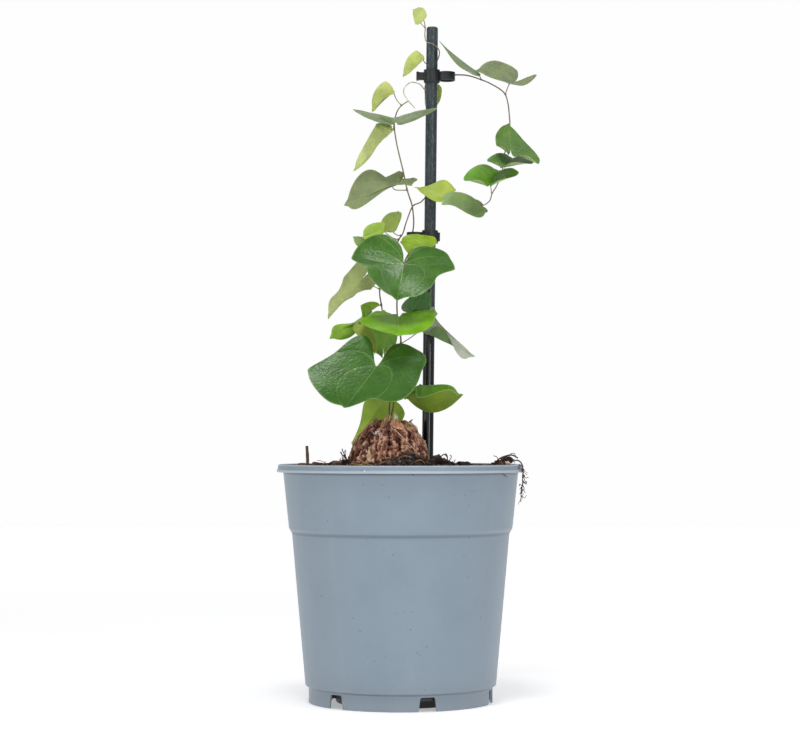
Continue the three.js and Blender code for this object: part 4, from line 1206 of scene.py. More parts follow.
def make_caudex_body(plant):
    """The dome r(z) of the profile, leaning at the top and wrinkled. Ridges are where a noise
    stretched upwards passes through 0, low plates are the cells nearest to seed points, and
    each long crack follows a wandering line down from the crown."""
    profile = curve_points(CAUDEX_PROFILE, 20)
    steps = np.concatenate(((0,), np.cumsum(np.linalg.norm(np.diff(profile, axis=0), axis=1))))
    even = np.linspace(0, steps[-1], CAUDEX_RINGS)
    radius = np.interp(even, steps, profile[:, 0])[:, None]
    height = np.interp(even, steps, profile[:, 1])[:, None]
    angle = np.linspace(0, 2 * np.pi, CAUDEX_SECTORS, endpoint=False)[None, :]
    rise = np.clip((height - 160) / 34, 0, 1)
    outward = unit(np.stack((np.cos(angle) + 0 * height, np.sin(angle) + 0 * height,
                             0.25 + 1.2 * rise ** 3 + 0 * angle), axis=-1))
    points = np.stack((
        CAUDEX_CENTRE[0] + CAUDEX_LEAN * rise + radius * np.cos(angle),
        CAUDEX_CENTRE[1] + radius * np.sin(angle),
        height + 0 * angle,
    ), axis=-1)
    random = np.random.default_rng(plant.seed + 2)
    stray = stray_of(points, 7.0, 20, 3)
    warped = (points + 2.0 * stray).astype(np.float32)
    seed_rings = random.integers(0, CAUDEX_RINGS, CAUDEX_PLATES)
    seed_sectors = random.integers(0, CAUDEX_SECTORS, CAUDEX_PLATES)
    seeds = points[seed_rings, seed_sectors].astype(np.float32)
    stretch = np.array((1.0, 1.0, 0.6), np.float32)
    distance = np.linalg.norm((warped[:, :, None] - seeds) * stretch, axis=-1)
    order = np.argpartition(distance, 1, axis=-1)[..., :2]
    two = np.take_along_axis(distance, order, axis=-1)
    first = np.take_along_axis(order, np.argmin(two, axis=-1)[..., None], axis=-1)[..., 0]
    plate = random.uniform(0, 1, CAUDEX_PLATES)[first]
    raised = smoothstep(0.0, 1.2, np.abs(two[..., 1] - two[..., 0]))
    columns = (1.0 - np.abs(noise((points + 2.2 * stray) * (1, 1, 0.4), 5.0, 30, 2))) ** 2
    wrinkles = (1.0 - np.abs(noise((points + 1.6 * stray) * (1, 1, 0.72), 2.7, 32, 1))) ** 3
    fine = (1.0 - np.abs(noise(points + 0.8 * stray, 1.5, 33, 1))) ** 3
    lumps = noise(points, 9.0, 34, 2)
    fissure = np.zeros_like(lumps)
    veil = smoothstep(-0.1, 0.35, noise(points, 7.0, 37, 2))
    for azimuth, top, bottom in FISSURES:
        turn = (angle - math.radians(azimuth) + np.pi) % (2 * np.pi) - np.pi
        across = turn * radius + 2.4 * noise(points * (0.1, 0.1, 1), 6.0, 200 + azimuth, 3)
        reach = smoothstep(bottom, bottom + 5, height) * smoothstep(top + 3, top - 3, height)
        fissure = np.maximum(fissure, reach * np.exp(-((across / 0.7) ** 2)))
    relief = (
        0.5 * raised * (0.5 + plate) + 0.5 * columns + 1.1 * wrinkles + 0.6 * fine
        + 0.9 * lumps - (0.9 + 0.9 * veil) * fissure
    )
    hold = smoothstep(0.4, 9.0, radius)
    points = points + ((relief - 1.3) * (0.35 + 0.65 * hold))[..., None] * outward
    # The relief as shown in the colour; the cracks sink it low, partly as painted shade
    shown = 0.1 * raised + 0.16 * columns + 0.55 * wrinkles + 0.36 * fine - 0.16 * veil
    shown = shown + 0.12 * lumps - (0.35 + 0.45 * veil) * fissure
    soil_and_shadow = 1.0 - smoothstep(157.5, 161.0, points[..., 2] + 1.5 * noise(points, 5.0, 35, 2))
    # Painted shadow: a dark patch on the cork's upper left, where a leaf above shades it, carried with
    # the clinging soil
    shade = np.exp(-((points[..., 0] + 22) / 6.0) ** 2 - ((points[..., 2] - 187.5) / 4.5) ** 2)
    soil_and_shadow = np.maximum(soil_and_shadow, 0.55 * shade)
    front = smoothstep(0.0, -14.0, points[..., 1] - CAUDEX_CENTRE[1])
    spot = np.exp(-((points[..., 0] + 15.5) / 5.5) ** 2 - ((points[..., 2] - 184.2) / 3.0) ** 2)
    flakes = smoothstep(0.42, 0.75, spot * (0.5 + 0.9 * noise(points, 2.4, 36, 3)) + 0.3 * wrinkles)
    grey = np.maximum(front * flakes * spot ** 0.3, 0.3 * smoothstep(188.0, 193.0, points[..., 2]))
    cork = np.stack((np.clip(shown, 0, 1), plate, soil_and_shadow, grey), axis=-1).reshape(-1, 4)
    body = Parts()
    foot, crown = np.array((*CAUDEX_CENTRE, CAUDEX_FOOT)), points[-1].mean(axis=0)
    ends = [np.tile(end, (1, CAUDEX_SECTORS, 1)) for end in (foot, crown)]
    rings = np.concatenate((ends[0], points, ends[1]))
    cork = np.vstack((np.zeros((CAUDEX_SECTORS, 4)), cork, np.tile(cork[-1], (CAUDEX_SECTORS, 1))))
    body.add(rings, grid_faces(len(rings), CAUDEX_SECTORS, closed=True), cork=cork)
    body.piece("caudex_body", ["caudex_cork"], "caudex_cork", "caudex")


# Dry scales on the crown: foot, rise, side, curl outwards, and tone
SCALES = (
    ((-12.0, -23.6, 185.4), (3.4, 4.0, 10.4), (2.7, 0.5, -0.8), (0.6, -3.6, 0.2), (0.95, 0.95, 0.95, 1)),
    ((-8.8, -26.0, 185.0), (0.8, 1.6, 6.4), (1.5, 0.3, 0), (0.2, -0.6, 0), (0.14, 0.1, 0.1, 1)),
    ((-6.8, -25.2, 190.4), (9.6, -1.6, -5.2), (1.2, 0.4, 2.4), (0.4, -1.2, 1.2), (0.98, 0.82, 0.84, 1)),
    ((-3.4, -21.0, 189.2), (-0.9, 0.6, 8.0), (2.1, 0.5, 0.3), (0.5, -1.5, 0), (1.1, 1.75, 2.1, 1)),
    ((2.4, -21.5, 190.0), (4.4, -3.6, -6.4), (1.0, 0.3, 0.8), (0.5, -0.9, 0.6), (0.76, 0.74, 0.74, 1)),
    ((-0.8, -22.0, 188.4), (4.4, -1.8, 2.8), (0.6, 0.4, -1.6), (0.4, -1.0, 0.6), (0.5, 0.4, 0.4, 1)),
    ((-17.0, -15.0, 188.6), (-0.4, 1.2, 5.0), (2.0, -1.2, 0.4), (0.4, -1.2, 0), (0.42, 0.32, 0.32, 1)),
    ((-13.0, -19.0, 189.2), (2.0, 1.2, 3.4), (1.6, -0.8, 0), (0.4, -1.0, 0), (0.4, 0.3, 0.3, 1)),
    ((4.5, -12, 189.6), (2.6, 0.8, 3.0), (0.8, 1.6, 0), (1.2, -0.4, 0), (0.5, 0.4, 0.36, 1)),
    ((-7.0, 2, 190.4), (0, 1.8, 3.4), (2.2, 0, 0), (0, 1.6, 0), (0.8, 0.68, 0.6, 1)),
)

# Straw on the caudex and in the soil before it: course, radius and tone
STRAWS = (
    (((-4.2, -27.6, 186.0), (4.5, -33.0, 177), (12.6, -35.0, 168.4)), 0.36, (1.3, 1.3, 1.5, 1)),
    (((-5.4, -27.0, 185.2), (2.6, -32.4, 176.6), (10.0, -34.6, 168.6)), 0.22, (0.5, 0.32, 0.36, 1)),
    (((-18.5, -33, 168.6), (-14.5, -35, 169.8), (-11, -35.5, 168), (-9.4, -36, 165)), 0.42,
     (1, 0.86, 0.8, 1)),
    (((-29, -47, 161), (-24, -49, 163.5), (-19, -48, 164.6)), 0.36, (1.3, 1.3, 1.2, 1)),
    (((-27, -49, 165.2), (-23.5, -50, 163.2), (-18, -49, 161.5)), 0.3, (1.25, 1.2, 1.05, 1)),
    (((-24.5, -50, 161), (-23.5, -50.5, 163.6), (-21.5, -49, 166.6)), 0.26, (1.2, 1.1, 0.9, 1)),
    (((-33, -45, 163), (-28, -48, 162.2), (-22, -50, 161.6)), 0.26, (1.3, 1.25, 1.1, 1)),
    (((-16, -50, 161), (-12, -51, 163.8), (-7, -50, 164.8)), 0.24, (1.2, 1.0, 0.8, 1)),
    (((-2, -45, 166), (2, -46, 168), (7, -45, 167.2)), 0.22, (1.1, 0.9, 0.7, 1)),
    (((9, -46, 164), (13, -48, 165.4), (16, -48, 163.4)), 0.24, (1.3, 1.2, 1.0, 1)),
)


def make_scales():
    """Papery scales: sheets that narrow to a point, P = foot + s rise + t w(s) side
    + (0.6 s^2 + 0.4 t^2) curl, with w(s) = (1 - s^3) (0.75 + 0.5 s)."""
    scales = Parts()
    share = np.linspace(0, 1, 15)[:, None, None]
    across = np.linspace(-1, 1, 11)[None, :, None]
    for index, (foot, rise, side, curl, tone) in enumerate(SCALES):
        width = (1 - share ** 3) * (0.75 + 0.5 * share) + 0.02
        middle = (
            np.array(foot) + share * np.array(rise) + across * width * np.array(side)
            + (0.6 * share ** 2 + 0.4 * across ** 2) * np.array(curl)
        )
        waves = noise(middle + 9.0 * index, 2.6, 50, 2)
        middle = middle + 0.35 * waves[..., None] * unit(np.array(curl, float))
        scales.add(*thickened(middle, np.full(middle.shape[:2], 0.13)), grain=tone)
    for places, radius, tone in STRAWS:
        path = curve_points(places, 8)
        scales.add(*swept(path, radius, 8, flat=0.6), grain=tone)
    scales.piece("caudex_scales", ["dry_scale"], "litter")


def make_stake_body():
    """A round bar from foot to head, its ends eased by quarter circles."""
    length = np.linalg.norm(STAKE_HEAD - STAKE_FOOT)
    along = (STAKE_HEAD - STAKE_FOOT) / length
    quarter = np.linspace(0, np.pi / 2, 7)
    ease = 1.6
    low = np.column_stack((ease * (1 - np.cos(quarter)), STAKE_RADIUS - ease + ease * np.sin(quarter)))
    high = np.column_stack((length - ease + ease * np.sin(quarter),
                            STAKE_RADIUS - ease + ease * np.cos(quarter)))
    middle = np.column_stack((np.linspace(ease, length - ease, 60)[1:-1], np.full(58, STAKE_RADIUS)))
    table = np.vstack((low, middle, high))
    stake = Parts()
    stake.add(*swept(STAKE_FOOT + table[:, :1] * along, table[:, 1], 48))
    stake.piece("stake_bar", ["stake_coating"], "stake_coating", "stake")


def hoop(inner, outer, height, segments, ease=0.25):
    """A ring of rectangular section with eased edges."""
    half = height / 2
    section = ((inner, 0), (inner, -half), (outer, -half), (outer, half), (inner, half), (inner, 0))
    return turned(rounded(section, (ease,) * 4), segments)


def make_clip_body(node, height, side, latch):
    """A collar round the stake, a ring for the stem on one side, a latch on the other, and
    ribs; turned with the stake's lean by R = 1 + [v] + [v]^2 / (1 + c)."""
    parts = [
        hoop(COLLAR_RADIUS, COLLAR_RADIUS + CLIP_WALL, 9.0, 64),
        box_points((COLLAR_RADIUS, -2, -3), (COLLAR_RADIUS + 1.6, 2, 3), 0.3),
        box_points((-COLLAR_RADIUS - latch, -1.5, -2.7), (-COLLAR_RADIUS - 0.4, 1.5, 2.7), 0.3),
        box_points((-COLLAR_RADIUS - latch, -2.1, -3), (1.8 - COLLAR_RADIUS - latch, 2.1, 3), 0.3),
    ]
    ring, ring_faces = hoop(RING_RADIUS - CLIP_WALL, RING_RADIUS, 6.0, 64)
    parts.append((ring + (RING_OFFSET, 0, 0), ring_faces))
    low, high = (COLLAR_RADIUS + 0.4, -0.7, -4.5), (COLLAR_RADIUS + 1.45, 0.7, 4.5)
    for azimuth in (-120, -70, -20, 20, 70, 120):
        rib, faces = box_points(low, high, 0.25)
        parts.append((rib @ rotation(2, math.radians(azimuth - 90)).T, faces))
    along = unit(STAKE_HEAD - STAKE_FOOT)
    cross = np.array((
        (0, 0, along[0]), (0, 0, along[1]), (-along[0], -along[1], 0),
    ))
    lean = np.eye(3) + cross + cross @ cross / (1 + along[2])
    share = (height - STAKE_FOOT[2]) / (STAKE_HEAD[2] - STAKE_FOOT[2])
    centre = STAKE_FOOT + share * (STAKE_HEAD - STAKE_FOOT)
    clip = Parts()
    for points, faces in parts:
        placed = points * (side, side, 1.0) @ lean.T + centre
        clip.add(placed, faces)
    clip.piece(node + "_body", ["clip_plastic"], "clip_plastic", node)


def make_stem(key, thickness, finish, slot):
    """A stem along its course, swollen where leaves leave it, with a bud at each. Its tone
    goes from bark brown below to green-brown above."""
    path = curve_points(COURSES[key], STEM_STEPS)
    place = np.arange(len(path)) / STEM_STEPS
    share = place / place[-1]
    swell = np.zeros(len(path))
    body = Parts()
    low, high = np.array(srgb(*STEM_LOW)), np.array(srgb(*STEM_HIGH))
    if key == "tendril":
        low = high = np.array(srgb(*TENDRIL_TONE))
    for leaf in LEAVES:
        if leaf["stem"] != key:
            continue
        swell += 0.42 * np.exp(-((place - leaf["at"]) / 0.09) ** 2)
        point, along = place_on(COURSES[key], leaf["at"])
        toward = np.array((leaf["joint"], *leaf.get("bends", ()))[-1], float) - point
        toward = unit(toward - along * np.dot(toward, along))
        bud = point + (1.1 * thickness) * toward + np.linspace(0, 1.3, 6)[:, None] * (
            unit(along + 0.8 * toward)
        )
        radii = 0.42 * np.array((0.8, 1.0, 0.95, 0.75, 0.45, 0.15))
        tone = low + (high - low) * leaf["at"] / place[-1]
        body.add(*swept(bud, radii, 8), tone=tone * (0.9, 0.8, 0.7, 1))
    radius = thickness * (1.12 - 0.3 * share + swell + 0.07 * noise(path, 5.0, 70, 2))
    points, faces = swept(path, radius, 12)
    shares = np.concatenate(((0,), share, (1,)))[:, None, None]
    tones = np.broadcast_to(low + (high - low) * shares, (*points.shape[:2], 4)).reshape(-1, 4)
    body.add(points, faces, tone=tones)
    body.piece(f"stem_{key}_vine", [finish], slot, f"stem_{key}")


def edge_reach(share):
    """The leaf's outline in polar form: share is -1 and 1 at the back of the lobes and 0 at
    the apex, which has a small point."""
    angle = share * np.pi
    apex = np.exp(-((angle / 0.45) ** 2)) - np.exp(-((angle / 0.09) ** 2))
    return (1 - np.abs(share) ** 9) ** 0.55 * (1 - 0.06 * apex)


def bulged(edge, angle):
    """1 + the sum of h exp(-((a - middle) / width)^2) over the bulges of one half's edge, in
    degrees from the apex. A dent is a bulge below 0."""
    degrees = np.degrees(np.abs(angle))
    swell = np.ones_like(degrees)
    for middle, height, width in edge.get("bulges", ()):
        swell = swell + height * np.exp(-(((degrees - middle) / width) ** 2))
    return swell


def half_blade(leaf, edge, gap, across, along):
    """One half of the blade: P = v tip + u side + 4 v (1 - v) sag + 2 u v F + u v^2 G + w^2 B,
    with u across, v ahead and w behind the joint. F, G and B make it pass through the places
    given for the front, the near front and the back of its edge."""
    tip, side = np.array(leaf["tip"], float), np.array(edge["side"], float)
    sag = np.array(leaf.get("sag", (0, 0, 0)), float)

    def plain(u, v):
        u, v = np.asarray(u)[..., None], np.asarray(v)[..., None]
        ahead = np.maximum(v, 0)
        return np.where(v < 0, v * leaf.get("lobe", 1), v) * tip + u * side + (
            4 * ahead * (1 - ahead) * sag
        )

    diagonal = math.sqrt(0.5)
    front, near, back = np.zeros(3), np.zeros(3), np.zeros(3)
    if "front" in edge:
        front = edge["front"] - plain(diagonal, diagonal)
    if "near" in edge:
        one, two = math.sin(math.pi / 8), math.cos(math.pi / 8)
        miss = edge["near"] - plain(one, two) - 2 * one * two * front
        near = miss / (one * two ** 2 - 2 * one * two * diagonal ** 3)
        front = front - diagonal ** 3 * near
    if "back" in edge:
        angle = math.radians((180 - gap) * 5 / 6)
        one, two = edge_reach(5 / 6) * math.sin(angle), edge_reach(5 / 6) * math.cos(angle)
        back = (edge["back"] - plain(one, two)) / two ** 2
    ahead, behind = np.maximum(along, 0)[..., None], np.maximum(-along, 0)[..., None]
    wide = across[..., None]
    return plain(across, along) + 2 * wide * ahead * front + wide * ahead ** 2 * near + (
        behind ** 2 * back
    )


def make_leaf(leaf, plant, number):
    """A blade of rings about its joint, waved towards the edge and thinned there, and the
    stalk that bends down to the stem."""
    ring = np.linspace(0, 1, plant.blade_rings + 1)[:, None]
    share = np.linspace(-0.985, 0.985, plant.blade_sectors + 1)[None, :]
    gap = leaf.get("gap", (10, 10))
    angle = share * np.pi * (1 - np.where(share > 0, gap[0], gap[1]) / 180)
    swell = np.where(share > 0, bulged(leaf["right"], angle), bulged(leaf["left"], angle))
    reach = ring * edge_reach(share) * swell
    across, along = reach * np.sin(angle), reach * np.cos(angle)
    halves = [half_blade(leaf, leaf[name], stop, np.abs(across), along)
              for name, stop in (("right", gap[0]), ("left", gap[1]))]
    middle = np.where((share > 0)[..., None], *halves) + np.array(leaf["joint"], float)
    normal = unit(np.cross(np.gradient(middle, axis=1), np.gradient(middle, axis=0)))
    length = np.linalg.norm(leaf["tip"])
    wave = noise(middle + 31.0 * number, 0.55 * length, 80, 2) * ring ** 2
    bow = np.clip(length / 30, 0.35, 1.0) * plant.edge_wave / MM
    normal[0] = 0
    middle = middle + (bow * (wave - 1.3 * ring ** 5))[..., None] * normal
    half = plant.blade_thickness / MM / 2 * (1 - 0.62 * ring ** 5) + 0 * share
    points, faces = thickened(middle, half)
    size = np.full_like(reach, length / 36)
    blade = np.stack((across, along, ring + 0 * share, size), axis=-1).reshape(-1, 4)
    count = len(blade)
    upper = np.array((*srgb(*leaf["upper"])[:3], 1.0))
    under = np.array((*srgb(*leaf["under"])[:3], 0.0))
    tone = np.vstack((np.tile(upper, (count, 1)), np.tile(under, (count, 1))))
    made = Parts()
    made.add(points, faces, blade=np.tile(blade, (2, 1)), tone=tone)
    root, direction = place_on(COURSES[leaf["stem"]], leaf["at"])
    places = [leaf["joint"], *leaf.get("bends", ())]
    away = np.array(places[-1], float) - root
    away = unit(away - direction * np.dot(away, direction))
    path = curve_points([*places, root + 0.5 * STEMS[leaf["stem"]][0] * away], 12)
    at = np.linspace(0, 1, len(path))
    radius = STALK_RADIUS * (0.86 + 0.5 * np.exp(-((at / 0.07) ** 2)) + 0.4 * np.exp(
        -(((1 - at) / 0.07) ** 2)))
    skin = 0.5 * under + 0.5 * np.array((*srgb(132, 104, 72)[:3], 0.0))
    made.add(*swept(path, radius, 10), blade=(5, 5, 0, 0), tone=skin)
    name = f"leaf_{number + 1:02d}"
    made.piece(name + "_blade", [leaf["slot"]], leaf["slot"], name)


def make_litter_piece(name, places, radius, seed, tone, rootlets=0):
    """A broken stick or root: a tube whose thickness wanders, with rootlets off its lower part."""
    path = curve_points(places, 16)
    share = np.linspace(0, 1, len(path))
    bend = min(rootlets, 1) * 0.7 * smoothstep(0.2, 0.4, share)[:, None]
    path = path + bend * stray_of(path, 4.0, seed, 2)
    thick = radius * (1.0 + 0.2 * noise(path, 3.0, seed, 2)) * (1 - min(rootlets, 1) * 0.5 * share)
    litter = Parts()
    litter.add(*swept(path, thick, 16), tone=srgb(*tone))
    random = np.random.default_rng(seed)
    for index in range(rootlets):
        start = path[int(random.uniform(0.45, 0.98) * (len(path) - 1))]
        heading = (random.normal(0, 0.8), random.uniform(-0.9, 0.1), random.normal(-0.2, 0.8))
        twig = wander(start, heading, random.uniform(1.5, 4.5), 2.4, 300.0 + index)
        litter.add(*swept(twig, random.uniform(0.16, 0.34), 6), tone=srgb(*tone))
    litter.piece(name + "_bark", ["litter_bark"], "litter", name)


# Settings

def amount(name, default, description, **more):
    """A setting that is one number."""
    return FloatProperty(name=name, default=default, description=description, **more)


def colour(name, red, green, blue, description):
    """A colour setting, given as it looks on screen."""
    return FloatVectorProperty(
        name=name, description=description, subtype="COLOR", size=4, min=0.0, max=1.0,
        default=srgb(red, green, blue),
    )


class YamPlant(PropertyGroup):
    """Shapes of the plant and the soil"""

    seed: IntProperty(name="Seed", description="Start of the random numbers", default=7)
    crumbs: IntProperty(name="Crumbs", description="Loose crumbs of soil", default=9000)
    fibres: IntProperty(name="Fibres", description="Fibres in the soil", default=260)
    blade_rings: IntProperty(
        name="Blade rings", description="Steps from a leaf's joint to its edge", default=22,
    )
    blade_sectors: IntProperty(
        name="Blade sectors", description="Steps round a leaf's edge", default=96,
    )
    blade_thickness: amount(
        "Blade thickness", 0.55 * MM, "Thickness of a leaf", unit="LENGTH", precision=5,
    )
    edge_wave: amount(
        "Edge wave", 0.9 * MM, "How far a leaf's edge waves", unit="LENGTH", precision=5,
    )


class YamLook(PropertyGroup):
    """Colours and finishes"""

    pot_colour: colour("Pot", 134, 150, 163, "The pot's plastic")
    shade_colour: colour("Pot mottle", 129, 145, 158, "Darker mottling of the pot")
    dust_colour: colour("Pot dust", 160, 172, 182, "Pale streaks and dust on the pot")
    roughness: amount("Pot roughness", 0.42, "Of its plastic")
    crack_colour: colour("Cork cracks", 84, 50, 42, "Between the plates of cork")
    plate_colour: colour("Cork plates", 134, 88, 73, "Body of the cork")
    ridge_colour: colour("Cork ridges", 184, 142, 118, "Worn ridges of the cork")
    low_colour: colour("Stake low", 13, 14, 16, "The stake's coating near the soil")
    high_colour: colour("Stake high", 42, 55, 60, "The stake's coating near its top")
    vein_colour: colour("Veins", 168, 190, 128, "Veins and edges of the leaves")
    upper_roughness: amount("Upper face", 0.32, "Roughness of a leaf's upper face")
    under_roughness: amount("Under face", 0.55, "Roughness of a leaf's under face")
    glow: amount("Glow", 0.15, "Light that passes through the leaves", subtype="FACTOR")


class YamStage(PropertyGroup):
    """Floor, light and camera"""

    floor_size: amount("Floor", 6.0, "Width of the floor", unit="LENGTH")
    floor_colour: colour("Floor colour", 240, 240, 241, "The floor")
    sky_colour: colour("Sky", 254, 254, 255, "Light from all round")
    backdrop_strength: amount("Backdrop", 1.0, "Brightness of the wall behind the plant")
    wall_strength: amount("Walls", 0.66, "Brightness of the other walls")
    ceiling_strength: amount("Ceiling", 0.15, "Brightness of the ceiling")
    floor_glow: amount("Floor glow", 0.45, "Light from a floor lit from below")
    key_power: amount("Key power", 22.0, "Power of the main light", unit="POWER")
    side_power: amount("Side power", 6.0, "Power of the high light on the right", unit="POWER")
    right_strip_power: amount("Right power", 6.0, "Power of the tall light on the right", unit="POWER")
    left_strip_power: amount("Left power", 4.0, "Power of the tall light on the left", unit="POWER")
    top_power: amount("Top power", 8.0, "Power of the light above", unit="POWER")
    lens: amount("Lens", 101.25, "Focal length", unit="CAMERA")
    tilt: amount("Tilt", math.radians(1.744), "Camera's angle above level", subtype="ANGLE")


# Operators

# Lights: name, place, and width and height, in metres. The settings hold each one's power
LIGHTS = (
    ("key", (-0.2, -1.02, 2.25), (0.65, 0.65)),
    ("side", (1.12, -0.85, 1.95), (0.7, 0.7)),
    ("right_strip", (1.02, -1.7, 0.45), (0.2, 1.3)),
    ("left_strip", (-1.65, -0.88, 0.45), (0.3, 1.3)),
    ("top", (0.2, 0.3, 1.9), (1.8, 1.8)),
)
LIGHT_AIM = np.array((0.0, 0.0, 0.22))
CAMERA_PLACE = (-0.0005, -1.545, 0.1813)
SENSOR_WIDTH = 36.0
FAR_FLOOR = (0.73, 0.73, 0.735, 1.0)


class YamOperator:
    """What the operators share: they run in the object mode of the current scene."""

    bl_options = {"REGISTER", "UNDO"}

    def settings(self, context):
        """The plant's shapes and looks."""
        if "yam_plant" not in context.scene.bl_rna.properties:
            raise RuntimeError("register the add-on first")
        return context.scene.yam_plant, context.scene.yam_look


class YAM_OT_pot(YamOperator, Operator):
    """Build the pot"""

    bl_idname = "yam.pot"
    bl_label = "Pot"

    def execute(self, context):
        _, look = self.settings(context)
        make_pot_finish(look)
        make_pot_body()
        return {"FINISHED"}


class YAM_OT_soil(YamOperator, Operator):
    """Build the soil, its crumbs, fibres and chips"""

    bl_idname = "yam.soil"
    bl_label = "Soil"

    def execute(self, context):
        plant, _ = self.settings(context)
        make_soil_finish()
        make_plain_finish("chip_dark", srgb(92, 62, 44), srgb(128, 92, 66), 0.8, 500.0, 0.4)
        make_plain_finish("chip_pale", srgb(186, 168, 140), srgb(216, 202, 178), 0.75, 500.0, 0.3)
        make_soil_body()
        make_crumbs(plant)
        make_fibres(plant)
        make_chips()
        return {"FINISHED"}


class YAM_OT_caudex(YamOperator, Operator):
    """Build the caudex with its scales"""

    bl_idname = "yam.caudex"
    bl_label = "Caudex"

    def execute(self, context):
        plant, look = self.settings(context)
        make_cork_finish(look)
        make_paper_finish()
        make_caudex_body(plant)
        make_scales()
        return {"FINISHED"}


class YAM_OT_stake(YamOperator, Operator):
    """Build the stake"""

    bl_idname = "yam.stake"
    bl_label = "Stake"

    def execute(self, context):
        _, look = self.settings(context)
        make_stake_finish(look)
        make_stake_body()
        return {"FINISHED"}


class YAM_OT_clips(YamOperator, Operator):
    """Build the two clips"""

    bl_idname = "yam.clips"
    bl_label = "Clips"

    def execute(self, context):
        make_plain_finish("clip_plastic", srgb(34, 36, 38), srgb(46, 48, 50), 0.42, 300.0, 0.08)
        for clip in CLIPS:
            make_clip_body(*clip)
        return {"FINISHED"}


class YAM_OT_stems(YamOperator, Operator):
    """Build the twining stems and the litter"""

    bl_idname = "yam.stems"
    bl_label = "Stems"

    def execute(self, context):
        make_bark_finish("stem_bark", 0.6)
        make_bark_finish("shoot_skin", 0.5)
        make_bark_finish("litter_bark", 0.85, 500.0)
        for key, stem in STEMS.items():
            make_stem(key, *stem)
        make_litter_piece("dry_stick", STICK_COURSE, 1.05, 71, (118, 88, 74))
        make_litter_piece("root_strand", ROOT_COURSE, 0.58, 72, (78, 58, 52), 26)
        return {"FINISHED"}


class YAM_OT_leaves(YamOperator, Operator):
    """Build the leaves with their stalks"""

    bl_idname = "yam.leaves"
    bl_label = "Leaves"

    def execute(self, context):
        plant, look = self.settings(context)
        for name in ("leaf_mature", "leaf_green", "leaf_young"):
            make_leaf_finish(name, look)
        for number, leaf in enumerate(LEAVES):
            make_leaf(leaf, plant, number)
        return {"FINISHED"}


class YAM_OT_stage(YamOperator, Operator):
    """Build the floor, the lights and the camera"""

    bl_idname = "yam.stage"
    bl_label = "Stage"

    def execute(self, context):
        stage = context.scene.yam_stage
        make_floor(stage)
        for name, place, size in LIGHTS:
            make_light(name, place, size, getattr(stage, name + "_power"))
        make_sky(stage)
        make_camera(stage)
        return {"FINISHED"}


def make_floor(stage):
    """A flat floor under the pot, lit from below and brighter far away."""
    made = Finish("floor")
    grain = made.noise(made.place(), 3.0, 2.0)
    across, depth, _ = made.split(made.place())
    far = made.step((across * across + depth * depth) ** 0.5, 0.3, 2.4)
    red, green, blue, _ = stage.floor_colour
    glow = np.array((red, green, blue)) * stage.floor_glow
    made.surface(
        Base_Color=(red, green, blue, 1.0),
        Roughness=0.75 + 0.1 * (grain - 0.5),
        Emission_Color=made.blend(far, (*glow.tolist(), 1.0), FAR_FLOOR),
        Emission_Strength=1.0,
    )
    half = stage.floor_size / 2
    mesh = bpy.data.meshes.new("floor")
    corners = ((-half, -half, 0), (half, -half, 0), (half, half, 0), (-half, half, 0))
    mesh.from_pydata(corners, (), ((0, 1, 2, 3),))
    mesh.materials.append(made.material)
    floor = bpy.data.objects.new("floor", mesh)
    floor.location.z = -0.0002
    bpy.context.scene.collection.objects.link(floor)


def make_light(name, place, size, power):
    """A soft light, width by height, that faces the plant's middle."""
    lamp = bpy.data.lights.new(name, "AREA")
    lamp.shape = "RECTANGLE"
    lamp.size, lamp.size_y = size
    lamp.energy = power
    light = bpy.data.objects.new(name, lamp)
    light.location = place
    aim = LIGHT_AIM - np.array(place)
    flat = math.hypot(aim[0], aim[1])
    light.rotation_euler = (math.atan2(flat, -aim[2]), 0.0, math.atan2(-aim[0], aim[1]))
    bpy.context.scene.collection.objects.link(light)


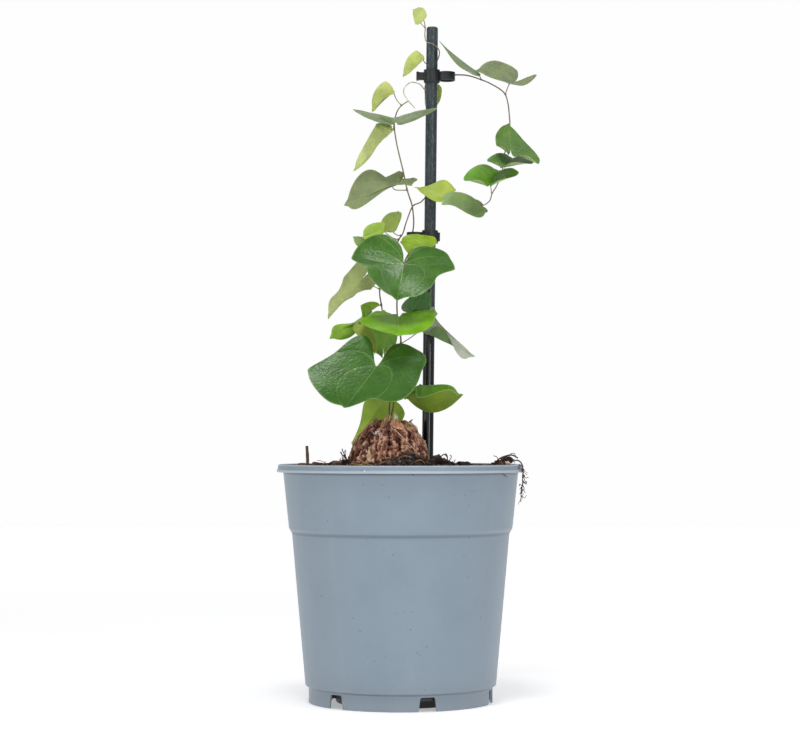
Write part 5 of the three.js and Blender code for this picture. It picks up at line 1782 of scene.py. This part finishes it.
def make_sky(stage):
    """A studio all round: a white backdrop behind the plant, pale walls, dimmer ones at the
    sides and a dim ceiling. The strength depends on the direction's Y, then X, then Z."""
    scene = bpy.context.scene
    scene.world = bpy.data.worlds.new("sky")
    scene.world.use_nodes = True
    tree = scene.world.node_tree
    where = tree.nodes.new("ShaderNodeTexCoord")
    parts = tree.nodes.new("ShaderNodeSeparateXYZ")
    tree.links.new(where.outputs["Generated"], parts.inputs["Vector"])
    bounds = (
        ("Y", 0.86, 0.96, stage.wall_strength, stage.backdrop_strength),
        ("X", 0.4, 0.9, None, 0.4 * stage.wall_strength),
        ("X", -0.4, -0.9, None, 0.6 * stage.wall_strength),
        ("Z", 0.2, 0.6, None, stage.ceiling_strength),
    )
    before = None
    for axis, low, high, start, end in bounds:
        fall = tree.nodes.new("ShaderNodeMapRange")
        fall.interpolation_type = "SMOOTHSTEP"
        tree.links.new(parts.outputs[axis], fall.inputs["Value"])
        fall.inputs["From Min"].default_value = low
        fall.inputs["From Max"].default_value = high
        fall.inputs["To Max"].default_value = end
        if before:
            tree.links.new(before.outputs["Result"], fall.inputs["To Min"])
        else:
            fall.inputs["To Min"].default_value = start
        before = fall
    sky = tree.nodes["Background"]
    sky.inputs["Color"].default_value = stage.sky_colour
    tree.links.new(before.outputs["Result"], sky.inputs["Strength"])
    scene.view_settings.view_transform = "Standard"


def make_camera(stage):
    """The camera that the plant is seen with, a little above the rim."""
    lens = bpy.data.cameras.new("camera")
    lens.lens = stage.lens
    lens.sensor_width = SENSOR_WIDTH
    camera = bpy.data.objects.new("camera", lens)
    camera.location = CAMERA_PLACE
    camera.rotation_euler = (math.pi / 2 + stage.tilt, 0.0, 0.0)
    bpy.context.scene.collection.objects.link(camera)
    bpy.context.scene.camera = camera


class YAM_PT_panel(Panel):
    """Steps of the build"""

    bl_idname = "YAM_PT_panel"
    bl_label = "Potted caudex yam"
    bl_space_type = "VIEW_3D"
    bl_region_type = "UI"
    bl_category = "Yam"

    def draw(self, context):
        column = self.layout.column(align=True)
        for step in STEPS:
            column.operator(step.bl_idname)
        for group in ("yam_plant", "yam_look", "yam_stage"):
            values = getattr(context.scene, group)
            box = self.layout.box()
            for name in values.__annotations__:
                box.prop(values, name)


STEPS = (
    YAM_OT_pot, YAM_OT_soil, YAM_OT_caudex, YAM_OT_stake, YAM_OT_clips, YAM_OT_stems,
    YAM_OT_leaves, YAM_OT_stage,
)
CLASSES = (YamPlant, YamLook, YamStage, *STEPS, YAM_PT_panel)


def register():
    """Adds the settings, the operators and the panel."""
    for entry in CLASSES:
        bpy.utils.register_class(entry)
    bpy.types.Scene.yam_plant = PointerProperty(type=YamPlant)
    bpy.types.Scene.yam_look = PointerProperty(type=YamLook)
    bpy.types.Scene.yam_stage = PointerProperty(type=YamStage)


def unregister():
    """Takes them away again."""
    del bpy.types.Scene.yam_plant
    del bpy.types.Scene.yam_look
    del bpy.types.Scene.yam_stage
    for entry in reversed(CLASSES):
        bpy.utils.unregister_class(entry)


def main():
    """Builds the plant."""
    register()
    for step in STEPS:
        area, name = step.bl_idname.split(".")
        getattr(getattr(bpy.ops, area), name)()


if __name__ == "__main__":
    main()
